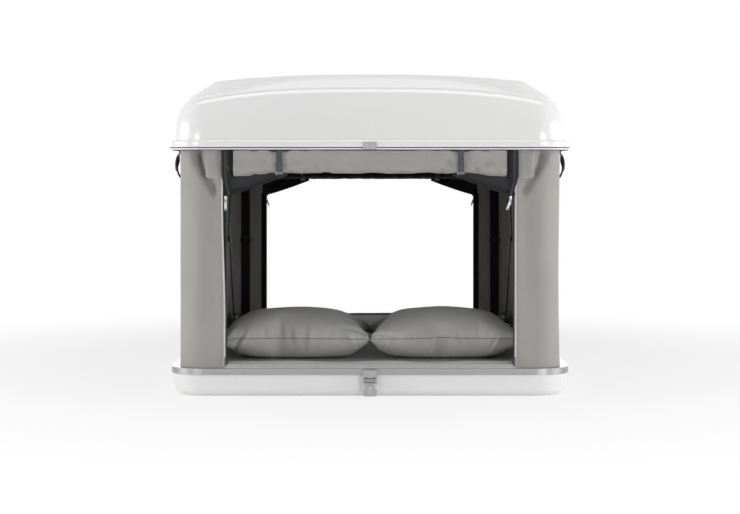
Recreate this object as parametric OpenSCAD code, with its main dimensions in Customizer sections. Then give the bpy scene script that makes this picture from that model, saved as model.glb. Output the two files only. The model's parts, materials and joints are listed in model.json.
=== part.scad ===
// Hard-shell pop-up roof top tent: lid raised level, both end doors rolled up.
// Millimetres, +Z up, +Y to the rear. The origin is under the middle of the base.

/* [Overall] */
// Width over the lid's lip
tent_w = 1300; // [1240:10:1400]
// Length over the lid's lip
tent_l = 2100; // [2040:10:2200]
// Height that the lid rises from closed to open
lift = 690; // [640:5:710]
// Plan radius of the shells' corners
corner_r = 110; // [95:1:125]
// Wall of the moulded shells
shell_t = 5; // [4:0.5:6]

/* [Base] */
// Height of the base up to the top of its rim
base_h = 89; // [85:1:96]
// Step in from the lid's lip to the rim
base_step = 13; // [10:1:16]
// Lean of the base wall from rim to foot
base_draft = 6; // [3:1:9]
// Radius of the base's bottom edge
base_edge_r = 28; // [20:1:32]
// Height of the recess under the base that takes the rails
recess_h = 14; // [12:1:16]
// Distance from the base wall in to the recess
recess_in = 65; // [60:1:80]
// Thickness of the floor board
floor_t = 12; // [9:1:14]

/* [Rim and sills] */
// Wall of the aluminium rim
rim_t = 2; // [1.5:0.25:2.5]
// Height of the rim's face
rim_face_h = 20; // [16:1:24]
// Width of the rim's top flange
rim_flange_w = 34; // [32:1:37]
// Height of a sill rail
sill_h = 11; // [8:0.5:12]
// Depth of a sill rail
sill_d = 12; // [10:0.5:14]
// Distance between the two rivets of a pair
rivet_pitch = 28; // [20:1:40]
// Distance from a doorway's jamb out to its pair of rivets
rivet_out = 3; // [0:0.5:8]
// Radius of a rivet head
rivet_r = 3.5; // [2.5:0.25:4.5]

/* [Bedding] */
// Gap from the lid's lip to the mattress at the sides
bed_side_gap = 102; // [100:1:120]
// Gap from the lid's lip to the mattress at the ends
bed_end_gap = 68; // [62:1:90]
// Thickness of the mattress
bed_t = 72; // [60:1:74]
// Width of a pillow
pillow_w = 488; // [440:2:500]
// Depth of a pillow, front to back
pillow_d = 420; // [360:5:440]
// Height of a pillow
pillow_h = 154; // [120:2:160]
// Gap between the two pillows' corners
pillow_gap = 6; // [2:1:20]
// Gap from the mattress's front end to the pillows
pillow_set_back = 46; // [30:2:100]

/* [Lid] */
// Height of the lip band
lip_h = 30; // [24:1:36]
// Ledge from the lip in to the lid's body
lip_ledge = 14; // [12:1:18]
// Chamfer on the lip's top edge
lip_chamfer = 5; // [3:0.5:8]
// Height of the nose over the lip, at its side
nose_side_h = 121; // [112:1:130]
// Height of the nose over the lip, in the middle
nose_mid_h = 159; // [150:1:168]
// Depth of the rounded edge on the nose
nose_edge = 60; // [50:1:65]
// Depth of the rounded edge along the sides
side_edge = 40; // [32:1:46]
// Length of the sloping nose
nose_l = 300; // [250:10:340]
// Rise of the nose's crease over the lip, at its side
crease_side_h = 133; // [128:1:138]
// Rise of the nose's crease over the lip, in the middle
crease_mid_h = 210; // [200:1:215]
// Length of the step from the crease up to the plateau
step_l = 60; // [40:5:90]
// Inset of the plateau's shoulder from the body's side
shoulder_in = 123; // [110:1:140]
// Height of the plateau over the lip, at its shoulder
plateau_edge_h = 203; // [195:1:208]
// Height of the plateau over the lip, in the middle
plateau_mid_h = 227; // [220:1:235]
// Fall of the shoulder, height over width
shoulder_slope = 0.587; // [0.5:0.01:0.65]
// Height of the trim bead under the lip
trim_h = 5; // [4:0.5:7]
// Gap between lip and rim when closed, filled by the seal
seal_gap = 2; // [1.5:0.25:3]
// Thickness of the ceiling liner
liner_t = 3; // [2:0.5:4]
// Thickness of the inner lid frame
frame_t = 4; // [3:0.5:5]
// Height of the inner lid frame over the lip's lower edge
frame_up = 12; // [10:1:14]

/* [Fabric] */
// Gap from the lid's lip to the fabric's outer face
wall_in = 40; // [37:1:42]
// Thickness of the lined fabric
wall_t = 3; // [2:0.5:4]
// Radius of the fabric's corners
wall_r = 80; // [65:5:95]
// Distance from the lid's lip in to a doorway's jamb
pillar_w = 188; // [180:2:210]
// Length of a corner pillar along the side
pillar_l = 450; // [380:10:520]
// Depth of the fabric's folds
fold_depth = 5; // [2:0.5:6]
// Radius of the rolled front door
front_roll_r = 41; // [36:1:43]
// Radius of the rolled rear door
rear_roll_r = 54; // [44:1:58]
// Distance from the fabric's outer face in to the rolls' middle
roll_in = 10; // [8:0.5:14]
// Gap from a jamb to a rolled door's end
roll_end = 30; // [28:1:52]
// Width of the straps round a roll
strap_w = 18; // [14:1:24]
// Distance from the middle to a roll strap
strap_x = 287; // [240:1:330]
// Thickness of the webbing
webbing_t = 2; // [1.5:0.25:2.5]
// Reach of a doorway's corner panel along the roll
gusset_reach = 200; // [160:5:220]
// Drop of a doorway's corner panel down the jamb
gusset_drop = 65; // [50:1:80]
// Width of the zip tape
zip_w = 14; // [10:1:18]
// Width of the rear tension straps
tension_w = 36; // [30:1:40]
// Gap from the lid's lip in to a tension strap's middle
tension_in = 116; // [110:1:130]

/* [Lift arms] */
// Length of an arm between its pivots
arm_l = 450; // [440:2:470]
// Angle of a folded arm
arm_fold = 4; // [3:0.5:5]
// Depth of an arm's bar
arm_w = 25; // [20:1:26]
// Thickness of an arm's bar
arm_t = 5; // [4:0.5:5.5]
// Radius of the pivot studs
stud_r = 5; // [4:0.25:5.5]
// Radial play of a stud in its bore
stud_play = 0.05; // [0.02:0.01:0.1]
// Gap between neighbouring bars
bar_gap = 2; // [1.5:0.25:2.5]
// Height of the base pivots
pivot_z = 60; // [58:1:64]
// Distance from the lid's lip in to the pivots, along the tent
pivot_in = 120; // [116:1:130]
// Distance from the lid's lip in to the lower arms
arm_in = 76; // [74:1:78]
// Radius of a gas spring's barrel
barrel_r = 9; // [7:0.5:9.5]
// Length of a gas spring's barrel
barrel_l = 180; // [140:5:220]
// Radius of a gas spring's rod
rod_r = 4; // [3:0.25:4.5]
// Length of the lug that a gas spring pushes
lug_l = 45; // [42:1:46]

/* [Latch] */
// Width of the latch's lever
latch_w = 43; // [38:1:48]
// Thickness of the latch's plates
latch_t = 2.5; // [2:0.25:3]
// Radius of the latch's pins
latch_pin_r = 2.5; // [2:0.25:2.75]
// Height of the lever's pivot
lever_z = 56; // [54:0.5:58]
// Drop from the lever's pivot to the claw's pin
claw_drop = 12; // [11:0.5:13]
// Width of the keeper on the lid
keeper_w = 42; // [36:1:46]

/* [Mounting rails] */
// Distance between the two rails' middles
rail_pitch = 840; // [760:10:900]
// Gap from the recess's end to a rail's end
rail_end_gap = 90; // [60:5:150]
// Width of a rail
rail_w = 40; // [36:1:50]
// Wall of a rail
rail_t = 2; // [1.5:0.25:3]
// Distance between a rail's two bolt holes
rail_hole_pitch = 1000; // [800:20:1200]
// Diameter of the bolt holes
rail_hole_d = 8.5; // [8.4:0.1:9]

/* [Clearances] */
// Gap between a soft or seated piece and what carries it
seat_gap = 0.3; // [0.2:0.05:0.4]
// Lap of the inner lid frame past the fabric
frame_lap = 11; // [8:1:12]
// Extra radius of the inner lid frame's corners, clear of the shell's
frame_relief = 6; // [4:0.5:10]
// Play of a pin in a slot, each side
slot_play = 0.3; // [0.2:0.05:0.5]

/* [Hidden] */
$fn = 48;
ends = [-1, 1];

// Base
rim_x = tent_w / 2 - base_step;
rim_y = tent_l / 2 - base_step;
shell_x = rim_x - rim_t;
shell_y = rim_y - rim_t;
shell_r = corner_r - rim_t;
shell_top = base_h - rim_t;
floor_z = recess_h + shell_t;
bed_x = tent_w / 2 - bed_side_gap;
bed_y = tent_l / 2 - bed_end_gap;
bed_z = floor_z + floor_t;
bed_top = bed_z + bed_t;
rivet_x = tent_w / 2 - pillar_w + rivet_out;
rail_l = 2 * (shell_y - recess_in - rail_end_gap);

// Lid
lid_z = base_h + seal_gap + lift;
lip_top = lid_z + lip_h;
body_x = tent_w / 2 - lip_ledge;
body_y = tent_l / 2 - lip_ledge;
frame_z = lid_z + frame_up;
frame_top = frame_z + frame_t;
frame_x = body_x - shell_t - seat_gap;
frame_y = body_y - shell_t - seat_gap;
frame_r = corner_r - shell_t - seat_gap + frame_relief;

// Fabric
wall_x = tent_w / 2 - wall_in;
wall_y = tent_l / 2 - wall_in;
wall_bottom = base_h + seat_gap;
wall_top = frame_z - seat_gap;
wall_h = wall_top - wall_bottom;
jamb_x = tent_w / 2 - pillar_w;
roll_l = 2 * (jamb_x - roll_end);
pillar_end_y = wall_y - pillar_l;
roll_y = wall_y - roll_in;
tension_x = tent_w / 2 - tension_in;
frame_in_x = wall_x - wall_t - frame_lap;
frame_in_y = wall_y - wall_t - frame_lap;
frame_in_r = wall_r - wall_t - frame_lap;

// Lift arms
arm_open = asin(sin(arm_fold) + lift / (2 * arm_l));
arm_swing = arm_open - arm_fold;
pivot_y = tent_l / 2 - pivot_in;
elbow_y = pivot_y - arm_l * cos(arm_open);
elbow_z = pivot_z + arm_l * sin(arm_open);
top_z = pivot_z + 2 * arm_l * sin(arm_open);
lower_x = tent_w / 2 - arm_in;
upper_x = lower_x + arm_t + bar_gap;
web_x = upper_x + arm_t + bar_gap;
bore_r = stud_r + stud_play;
// The lid moves evenly with the arms' angle, so the top studs ride up their slots in mid travel.
ride_angle = acos(lift / (2 * arm_l * arm_swing * PI / 180));
slot_rise = 2 * arm_l * (sin(ride_angle) - sin(arm_fold)) - lift * (ride_angle - arm_fold) / arm_swing;
web_half = 25;
web_top = top_z + slot_rise + 2 * stud_r + 10;
foot_t = 4;

// Gas springs
lug_half = arm_swing / 2;
lug_dy = lug_l * sin(lug_half);
lug_z = pivot_z + lug_l * cos(lug_half);
gas_z = pivot_z + lug_l * (1 + cos(lug_half)) / 2;
gas_x = lower_x - barrel_r - bar_gap - 1;
eye_half = 2 * stud_r;
barrel_end_y = pivot_y - lug_dy - eye_half - 8;
saddle_t = 12;

// Latch
plate_y = rim_y + latch_t;
lever_y = rim_y + 9;
claw_y = lever_y + 3.5;
claw_z = lever_z - claw_drop;
ear_x = 10;
ear_t = 3;
cheek_x = ear_x + ear_t + 1;
claw_arm_x = latch_w / 2 - ear_t;
front_y = claw_y + 7;
claw_top = base_h - 2.5;

// Shape helpers

// Points of a rounded rectangle, anticlockwise, n steps on each corner
function rr_points(hx, hy, r, n) = [
    for (c = [0:3])
        for (i = [0:n])
            let (a = 90 * c + 90 * i / n)
            [(c == 0 || c == 3 ? 1 : -1) * (hx - r) + r * cos(a), (c < 2 ? 1 : -1) * (hy - r) + r * sin(a)]
];

function at_height(points, z) = [for (p = points) [p[0], p[1], z]];

function flatten(lists) = [for (l = lists) for (p = l) p];

// Blend from 0 to 1 with level ends
function ease(t) = let (c = min(1, max(0, t))) c * c * (3 - 2 * c);

// Closed solid through a row of rings with equal point counts
module loft(rings) {
    n = len(rings[0]);
    last = len(rings) - 1;
    sides = [
        for (i = [0:last - 1])
            for (j = [0:n - 1])
                let (k = (j + 1) % n, a = i * n, b = a + n)
                each [[a + j, b + j, b + k], [a + j, b + k, a + k]]
    ];
    caps = [[for (j = [0:n - 1]) j], [for (j = [n - 1:-1:0]) last * n + j]];
    polyhedron(flatten(rings), concat(sides, caps), convexity = 6);
}

// Indices round the edge of a grid of rows and columns
function edge_loop(rows, cols) = concat(
    [for (j = [0:cols - 1]) j],
    [for (i = [1:rows - 1]) i * cols + cols - 1],
    [for (j = [cols - 2:-1:0]) (rows - 1) * cols + j],
    [for (i = [rows - 2:-1:1]) i * cols]
);

function pick(points, indices) = [for (i = indices) points[i]];

// Closed solid between two grids of points, with extra rings round the edge between them
module skin(top, rings, bottom) {
    rows = len(top);
    cols = len(top[0]);
    loop = edge_loop(rows, cols);
    n = len(loop);
    grid = rows * cols;
    low = grid + n * len(rings);
    chain = concat([loop], [for (k = [0:1:len(rings) - 1]) [for (j = [0:n - 1]) grid + k * n + j]],
        [[for (i = loop) low + i]]);
    faces = [
        for (i = [0:rows - 2])
            for (j = [0:cols - 2])
                let (a = i * cols + j, b = a + cols)
                each [[a, b, b + 1], [a, b + 1, a + 1], [low + a, low + b + 1, low + b],
                    [low + a, low + a + 1, low + b + 1]]
    ];
    walls = [
        for (k = [0:len(chain) - 2])
            for (j = [0:n - 1])
                let (m = (j + 1) % n, a = chain[k], b = chain[k + 1])
                each [[b[j], a[j], a[m]], [b[j], a[m], b[m]]]
    ];
    polyhedron(concat(flatten(top), flatten(rings), flatten(bottom)), concat(faces, walls), convexity = 8);
}

// Flat rounded rectangle with true corner arcs
module rr(hx, hy, r) {
    square([2 * (hx - r), 2 * hy], center = true);
    square([2 * hx, 2 * (hy - r)], center = true);
    for (sx = ends)
        for (sy = ends)
            translate([sx * (hx - r), sy * (hy - r)]) circle(r);
}

// Flat frame between two rounded rectangles
module rr_frame(hx, hy, r, in_x, in_y, in_r) {
    difference() {
        rr(hx, hy, r);
        rr(in_x, in_y, in_r);
    }
}

// Box from one corner to the other
module span(low, high) {
    translate(low) cube(high - low);
}

// Rod along X between two places
module x_rod(x0, x1, y, z, r) {
    translate([x0, y, z]) rotate([0, 90, 0]) cylinder(r = r, h = x1 - x0);
}

// A piece built for the front left corner, moved to another corner
module to_corner(right, rear) {
    mirror([right ? 1 : 0, 0, 0]) mirror([0, rear ? 1 : 0, 0]) children();
}

// A piece built for the front end, turned to the rear end
module to_end(rear) {
    rotate([0, 0, rear ? 180 : 0]) children();
}

// Base and bedding

module base_shell() {
    foot_in = base_draft + base_edge_r;
    in_r = base_edge_r - shell_t;
    steps = 4;
    outer = [for (i = [0:steps]) let (a = 90 * i / steps)
        [foot_in - base_edge_r * sin(a), base_edge_r * (1 - cos(a))]];
    inner = [for (i = [0:steps]) let (a = 90 * i / steps)
        [shell_t + base_draft + in_r * (1 - cos(a)), floor_z + in_r * (1 - sin(a))]];
    profile = concat([[recess_in + recess_h, recess_h], [recess_in, 0]], outer,
        [[0, shell_top], [shell_t, shell_top]], inner);
    color("white")
        loft([for (p = profile)
            at_height(rr_points(shell_x - p[0], shell_y - p[0], shell_r - p[0], 6), p[1])]);
}

module base_rim() {
    color("silver") {
        translate([0, 0, base_h - rim_face_h])
            linear_extrude(rim_face_h) rr_frame(rim_x, rim_y, corner_r, shell_x, shell_y, shell_r);
        translate([0, 0, shell_top])
            linear_extrude(rim_t)
                rr_frame(rim_x, rim_y, corner_r, rim_x - rim_flange_w, rim_y - rim_flange_w,
                    corner_r - rim_flange_w);
    }
}

module rim_rivets() {
    color("gainsboro")
        for (rear = [false, true])
            to_end(rear)
                for (sx = ends)
                    for (k = ends)
                        translate([sx * (rivet_x + k * rivet_pitch / 2), -rim_y, base_h - rim_face_h / 2])
                            rotate([90, 0, 0]) cylinder(r1 = rivet_r, r2 = rivet_r * 0.6, h = rivet_r * 0.45);
}

module sill_rails() {
    groove_r = sill_h / 4;
    half = jamb_x - seat_gap;
    color("silver")
        for (rear = [false, true])
            to_end(rear)
                difference() {
                    span([-half, -wall_y, base_h], [half, -wall_y + sill_d, base_h + sill_h]);
                    x_rod(-half - 1, half + 1, -wall_y, base_h + sill_h * 0.6, groove_r);
                }
}

module mount_rails() {
    color("darkgray")
        for (sx = ends)
            translate([sx * rail_pitch / 2, 0, 0])
                difference() {
                    span([-rail_w / 2, -rail_l / 2, 0], [rail_w / 2, rail_l / 2, recess_h]);
                    span([rail_t - rail_w / 2, -rail_l / 2 - 1, rail_t],
                        [rail_w / 2 - rail_t, rail_l / 2 + 1, recess_h - rail_t]);
                    for (sy = ends)
                        translate([0, sy * rail_hole_pitch / 2, -1])
                            cylinder(d = rail_hole_d, h = rail_t + 2);
                }
}

module floor_board() {
    color("burlywood")
        translate([0, 0, floor_z]) linear_extrude(floor_t) rr(bed_x, bed_y, corner_r / 2);
}

// Boxed pad with bulging sides and a soft top edge
module mattress() {
    profile = [[9, 0], [2, 0.1], [0, 0.35], [2, 0.7], [8, 0.92], [20, 0.98], [60, 1]];
    bed_r = corner_r / 2 + 10;
    color("gray")
        loft([for (p = profile)
            at_height(rr_points(bed_x - p[0], bed_y - p[0], bed_r - p[0] / 2, 5), bed_z + p[1] * bed_t)]);
}

// Stuffed pillow: crowned, drawn in between pinched corners, flat where it lies on the mattress
module pillow(sx) {
    across = 18;
    along = 14;
    seam = 2;
    draw_in = 0.055;
    low = bed_top + seat_gap;
    mid_z = bed_top + pillow_h / 2;
    centre = [sx * (pillow_w + pillow_gap) / 2, pillow_set_back + pillow_d / 2 - bed_y];
    function fill(u, v) = pow((1 - pow(abs(u), 3)) * (1 - pow(abs(v), 3)), 0.6);
    function place(u, v) = [
        centre[0] + pillow_w / 2 * u * (1 - draw_in * (1 - v * v) * u * u),
        centre[1] + pillow_d / 2 * v * (1 - draw_in * (1 - u * u) * v * v)];
    function height(u, v) = seam + (pillow_h / 2 - seam) * fill(u, v);
    grid = [for (i = [0:along]) [for (j = [0:across])
        [sin(90 * (2 * j / across - 1)), sin(90 * (2 * i / along - 1))]]];
    top = [for (row = grid) [for (g = row) concat(place(g[0], g[1]), mid_z + height(g[0], g[1]))]];
    under = [for (row = grid) [for (g = row)
        concat(place(g[0], g[1]), max(low, mid_z - 1.15 * height(g[0], g[1])))]];
    color("dimgray") skin(top, [], under);
}

module pillow_left() {
    pillow(-1);
}

module pillow_right() {
    pillow(1);
}

// Lid

function nose_height(ax) =
    nose_mid_h - (nose_mid_h - nose_side_h) * pow(ax / (body_x - nose_edge), 3);

function crease_height(ax) =
    crease_mid_h - (crease_mid_h - crease_side_h) * pow(ax / (body_x - nose_edge / 2), 3);

function plateau_height(ax) =
    let (edge = body_x - shoulder_in)
    ax < edge ? plateau_mid_h - (plateau_mid_h - plateau_edge_h) * pow(ax / edge, 2.5)
        : plateau_edge_h - shoulder_slope * (ax - edge);

// Share of the step from nose to plateau, by distance from the lid's end
function step_share(e) = ease((e - nose_l) / step_l);

function roof_height(x, y) =
    let (ax = abs(x), e = body_y - abs(y), s = step_share(e),
        nose = nose_height(ax) + (crease_height(ax) - nose_height(ax)) * min(1, e / nose_l))
    nose + (plateau_height(ax) - nose) * s;

// Distance from a point in to the lid body's outline
function body_inset(x, y) =
    let (qx = abs(x) - body_x + corner_r, qy = abs(y) - body_y + corner_r)
    corner_r - norm([max(qx, 0), max(qy, 0)]) - min(max(qx, qy), 0);

function edge_rise(t) = t >= 1 ? 1 : sqrt(1 - pow(1 - max(t, 0), 2));

// Height of the lid's surface at a depth under its outer face
function lid_height(x, y, depth) =
    let (edge = side_edge + (nose_edge - side_edge) * (1 - step_share(body_y - abs(y))))
    lip_top + (roof_height(x, y) - depth) * edge_rise((body_inset(x, y) - depth) / edge);

// Half width of a rounded outline at a distance from its end
function half_width(e, hx, r) = e >= r ? hx : hx - r + sqrt(r * r - pow(r - e, 2));

// Grid over a rounded outline: rows at distances from the ends, columns at insets from the sides
function outline_grid(hx, hy, r, rows, cols) =
    let (ys = concat([for (e = rows) e - hy], [0], [for (i = [len(rows) - 1:-1:0]) hy - rows[i]]))
    [for (y = ys)
        let (w = half_width(hy - abs(y), hx, r))
        [for (x = concat([for (c = cols) c - w], [0], [for (i = [len(cols) - 1:-1:0]) w - cols[i]])) [x, y]]];

function lid_surface(grid, depth, drop) =
    [for (row = grid) [for (p = row) [p[0], p[1], lid_height(p[0], p[1], depth) - drop]]];

edge_steps = [for (i = [0:6]) nose_edge * (1 - cos(15 * i))];
shoulder_cols = concat(edge_steps, [shoulder_in, 2 * shoulder_in, 3.4 * shoulder_in]);
nose_rows = concat(edge_steps, [(nose_edge + corner_r) / 2, corner_r, (corner_r + nose_l) / 2, nose_l,
    nose_l + step_l / 2, nose_l + step_l, body_y - nose_l]);

// A point of the lid body's outline moved straight out from it
function outward(p, out) =
    let (cx = body_x - corner_r, cy = body_y - corner_r,
        v = [p[0] - max(-cx, min(cx, p[0])), p[1] - max(-cy, min(cy, p[1]))])
    [p[0], p[1]] + out * v / norm(v);

function lid_inner_grid() =
    outline_grid(body_x - shell_t, body_y - shell_t, corner_r - shell_t, nose_rows, shoulder_cols);

module lid_shell() {
    outer = outline_grid(body_x, body_y, corner_r, nose_rows, shoulder_cols);
    inner = lid_inner_grid();
    edge = pick(flatten(outer), edge_loop(len(outer), len(outer[0])));
    lip = [[lip_ledge - lip_chamfer, lip_top], [lip_ledge, lip_top - lip_chamfer],
        [lip_ledge, lid_z + trim_h], [-shell_t, lid_z + trim_h]];
    rings = [for (k = lip) [for (p = edge) concat(outward(p, k[0]), k[1])]];
    color("whitesmoke") skin(lid_surface(outer, 0, 0), rings, lid_surface(inner, shell_t, 0));
}

// Cloth glued under the shell, on the shell's own grid inside its rounded edge
module lid_liner() {
    grid = lid_inner_grid();
    skip = len(edge_steps) - 1;
    field = [for (i = [skip:len(grid) - 1 - skip]) [for (j = [skip:len(grid[0]) - 1 - skip]) grid[i][j]]];
    color("#26282a")
        skin(lid_surface(field, shell_t, seat_gap), [], lid_surface(field, shell_t, seat_gap + liner_t));
}

// Bead under the lip, set off from it by a shadow groove
module lid_trim() {
    groove_h = 1.5;
    groove_d = 3;
    module band(in, z, h) {
        translate([0, 0, lid_z + z])
            linear_extrude(h)
                rr_frame(tent_w / 2 - in, tent_l / 2 - in, corner_r + lip_ledge - in, body_x - shell_t,
                    body_y - shell_t, corner_r - shell_t);
    }
    color("lightgray") {
        band(0, 0, trim_h - groove_h);
        band(groove_d, trim_h - groove_h, groove_h);
    }
}

module lid_seal() {
    seal_w = rim_flange_w / 4;
    seal_h = seal_gap - seat_gap;
    color("black")
        translate([0, 0, lid_z - seal_h])
            linear_extrude(seal_h)
                rr_frame(rim_x, rim_y, corner_r, rim_x - seal_w, rim_y - seal_w, corner_r - seal_w);
}

module lid_frame() {
    color("darkgray")
        translate([0, 0, frame_z])
            linear_extrude(frame_t)
                rr_frame(frame_x, frame_y, frame_r, frame_in_x, frame_in_y, frame_in_r);
}

// Angle bracket with an upright slot for an upper arm's stud
module lid_brackets() {
    slot_r = stud_r + slot_play;
    color("#3a3a3c")
        for (right = [false, true])
            for (rear = [false, true])
                to_corner(right, rear)
                    translate([-web_x, -pivot_y, 0]) {
                        difference() {
                            span([-arm_t, -web_half, frame_top], [0, web_half, web_top]);
                            x_rod(-arm_t - 1, 1, 0, top_z, slot_r);
                            x_rod(-arm_t - 1, 1, 0, top_z + slot_rise, slot_r);
                            span([-arm_t - 1, -slot_r, top_z], [1, slot_r, top_z + slot_rise]);
                        }
                        span([-web_half - arm_t, -web_half, frame_top],
                            [-arm_t, web_half, frame_top + foot_t]);
                    }
}

// Fabric

// Closed sheet along a path of [x, y, normal x, normal y], standing from the rim up to the lid frame
module hung_sheet(path, folds) {
    rows = 9;
    count = len(path) - 1;
    function draw(s, t) = -fold_depth * sin(180 * t) * (0.5 - 0.5 * cos(360 * (folds * s + 0.4 * t)));
    function face(depth) = [for (i = [0:count]) [for (k = [0:rows])
        let (p = path[i], t = k / rows, d = draw(i / count, t) - depth)
        [p[0] + d * p[2], p[1] + d * p[3], wall_bottom + wall_h * t]]];
    skin(face(0), [], face(wall_t));
}

// Front left pillar: from the doorway's jamb round the corner and along the side
module pillar(folds) {
    cx = wall_x - wall_r;
    cy = wall_y - wall_r;
    front_steps = 4;
    corner_steps = 6;
    side_steps = 6;
    path = concat(
        [for (i = [0:front_steps - 1]) [-jamb_x - (cx - jamb_x) * i / front_steps, -wall_y, 0, -1]],
        [for (i = [0:corner_steps]) let (a = 270 - 90 * i / corner_steps)
            [-cx + wall_r * cos(a), -cy + wall_r * sin(a), cos(a), sin(a)]],
        [for (i = [1:side_steps]) [-wall_x, -cy + (cy - pillar_end_y) * i / side_steps, -1, 0]]);
    color("#a8a59e") hung_sheet(path, folds);
}

module pillar_front_left() {
    pillar(3);
}

module pillar_front_right() {
    to_corner(true, false) pillar(2.5);
}

module pillar_rear_left() {
    to_corner(false, true) pillar(2.5);
}

module pillar_rear_right() {
    to_corner(true, true) pillar(3);
}

module side_wall() {
    steps = 8;
    half = pillar_end_y - seat_gap;
    color("#a8a59e") hung_sheet([for (i = [0:steps]) [-wall_x, half * (2 * i / steps - 1), -1, 0]], 3);
}

module side_wall_left() {
    side_wall();
}

module side_wall_right() {
    to_corner(true, false) side_wall();
}

// Webbing on the inner face of the rear pillars, from the floor up to the lid frame
tension_y = frame_in_y - seat_gap - webbing_t;

module tension_straps() {
    color("#1c1c1e")
        for (sx = ends)
            translate([sx * tension_x, 0, 0])
                span([-tension_w / 2, tension_y, floor_z + seat_gap],
                    [tension_w / 2, tension_y + webbing_t, wall_top]);
}

module ladder_locks() {
    lock_z = wall_bottom + 0.45 * wall_h;
    wall = 3;
    half = tension_w / 2 + wall + seat_gap;
    height = 26;
    bar = 4;
    color("#1c1c1e")
        for (sx = ends)
            translate([sx * tension_x, tension_y, lock_z])
                difference() {
                    span([-half, -seat_gap - wall, 0], [half, webbing_t + seat_gap, height]);
                    span([wall - half, -seat_gap, -1], [half - wall, webbing_t + 1, height + 1]);
                    span([wall - half, -2 * wall, bar], [half - wall, 1, height / 2 - bar / 2]);
                    span([wall - half, -2 * wall, height / 2 + bar / 2], [half - wall, 1, height - bar]);
                }
}

// Door rolled up along X under the lid: drawn in under each strap, slack in between
pinch = 3;
pinch_l = 34;

function roll_pinch(x) = exp(-pow((abs(x) - strap_x) / pinch_l, 2));

module door_roll(r) {
    sides = 16;
    stations = 30;
    axis_z = lid_z - r;
    function radius(a, x) = r - pinch * roll_pinch(x)
        - (1 - roll_pinch(x)) * 1.6 * (1 + sin(3 * a + 0.35 * x) * cos(0.9 * x));
    color("#a8a59e") {
        loft([for (i = [0:stations]) let (x = roll_l * (i / stations - 0.5))
            [for (k = [0:sides - 1]) let (a = 360 * k / sides, q = radius(a, x))
                [x, q * cos(a) - roll_y, axis_z + q * sin(a)]]]);
        span([-roll_l / 2, -roll_y - wall_t, axis_z], [roll_l / 2, -roll_y, wall_top]);
    }
}

module front_door_roll() {
    door_roll(front_roll_r);
}

module rear_door_roll() {
    to_end(true) door_roll(rear_roll_r);
}

// Webbing ring round a roll with a tab up to the lid frame
module roll_straps(r) {
    in_r = r - pinch + 2 * seat_gap;
    axis_z = lid_z - r;
    color("#4c5055")
        for (sx = ends)
            difference() {
                union() {
                    x_rod(sx * strap_x - strap_w / 2, sx * strap_x + strap_w / 2, -roll_y, axis_z,
                        in_r + webbing_t);
                    span([sx * strap_x - strap_w / 2, -roll_y - wall_t - seat_gap - webbing_t, axis_z],
                        [sx * strap_x + strap_w / 2, -roll_y - wall_t - seat_gap, wall_top]);
                }
                x_rod(sx * strap_x - strap_w, sx * strap_x + strap_w, -roll_y, axis_z, in_r);
                span([sx * strap_x - strap_w, -roll_y - wall_t - seat_gap, axis_z],
                    [sx * strap_x + strap_w, -roll_y + seat_gap, wall_top]);
            }
}

module front_roll_straps() {
    roll_straps(front_roll_r);
}

module rear_roll_straps() {
    to_end(true) roll_straps(rear_roll_r);
}

// Flat hemmed ends of a rolled door, lying on the pillars
module door_hems(r) {
    hem_w = 48;
    hem_out = 10;
    hem_x = jamb_x + hem_out;
    color("#b4b1aa")
        for (sx = ends)
            translate([sx * (hem_x + hem_w / 2), 0, 0])
                span([-hem_w / 2, -wall_y - seat_gap - webbing_t, lid_z - 2 * r],
                    [hem_w / 2, -wall_y - seat_gap, wall_top]);
}

module front_door_hems() {
    door_hems(front_roll_r);
}

module rear_door_hems() {
    to_end(true) door_hems(front_roll_r);
}

// Corner panel between a jamb and a rolled door, its lower edge hanging from the roll to the jamb
gusset_side = jamb_x - seat_gap;

function gusset_top(r) = lid_z - 2 * r - seat_gap;
function gusset_tip(r) = gusset_top(r) - gusset_drop;

// Lays a drawing of the right doorway corner, X across and Y up, as a sheet on both sides
module corner_sheets(face_y, t) {
    for (sx = ends)
        translate([0, face_y, 0])
            mirror([sx < 0 ? 1 : 0, 0, 0]) rotate([90, 0, 0]) linear_extrude(t) children();
}

module corner_panel(r) {
    steps = 8;
    sag = 1.2;
    edge = [for (i = [0:steps]) let (t = i / steps)
        [gusset_side - gusset_reach * t, gusset_tip(r) + gusset_drop * pow(t, sag)]];
    polygon(concat(edge, [[gusset_side, gusset_top(r)]]));
}

module gussets(r) {
    color("#1e2022") corner_sheets(-wall_y + wall_t, wall_t) corner_panel(r);
}

module front_gussets() {
    gussets(front_roll_r);
}

module rear_gussets() {
    to_end(true) gussets(rear_roll_r);
}

// Zip tape along each corner panel's lower edge, and its rolled end beside each roll
module zip_tapes() {
    roll_gap = 1;
    color("#151517")
        for (rear = [false, true])
            let (r = rear ? rear_roll_r : front_roll_r)
            to_end(rear) {
                corner_sheets(-wall_y - seat_gap, webbing_t)
                    difference() {
                        corner_panel(r);
                        translate([0, zip_w]) corner_panel(r);
                    }
                for (sx = ends)
                    let (a = sx * (roll_l / 2 + roll_gap), b = sx * gusset_side)
                    x_rod(min(a, b), max(a, b), -roll_y, lid_z - r, r - pinch);
            }
}

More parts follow.
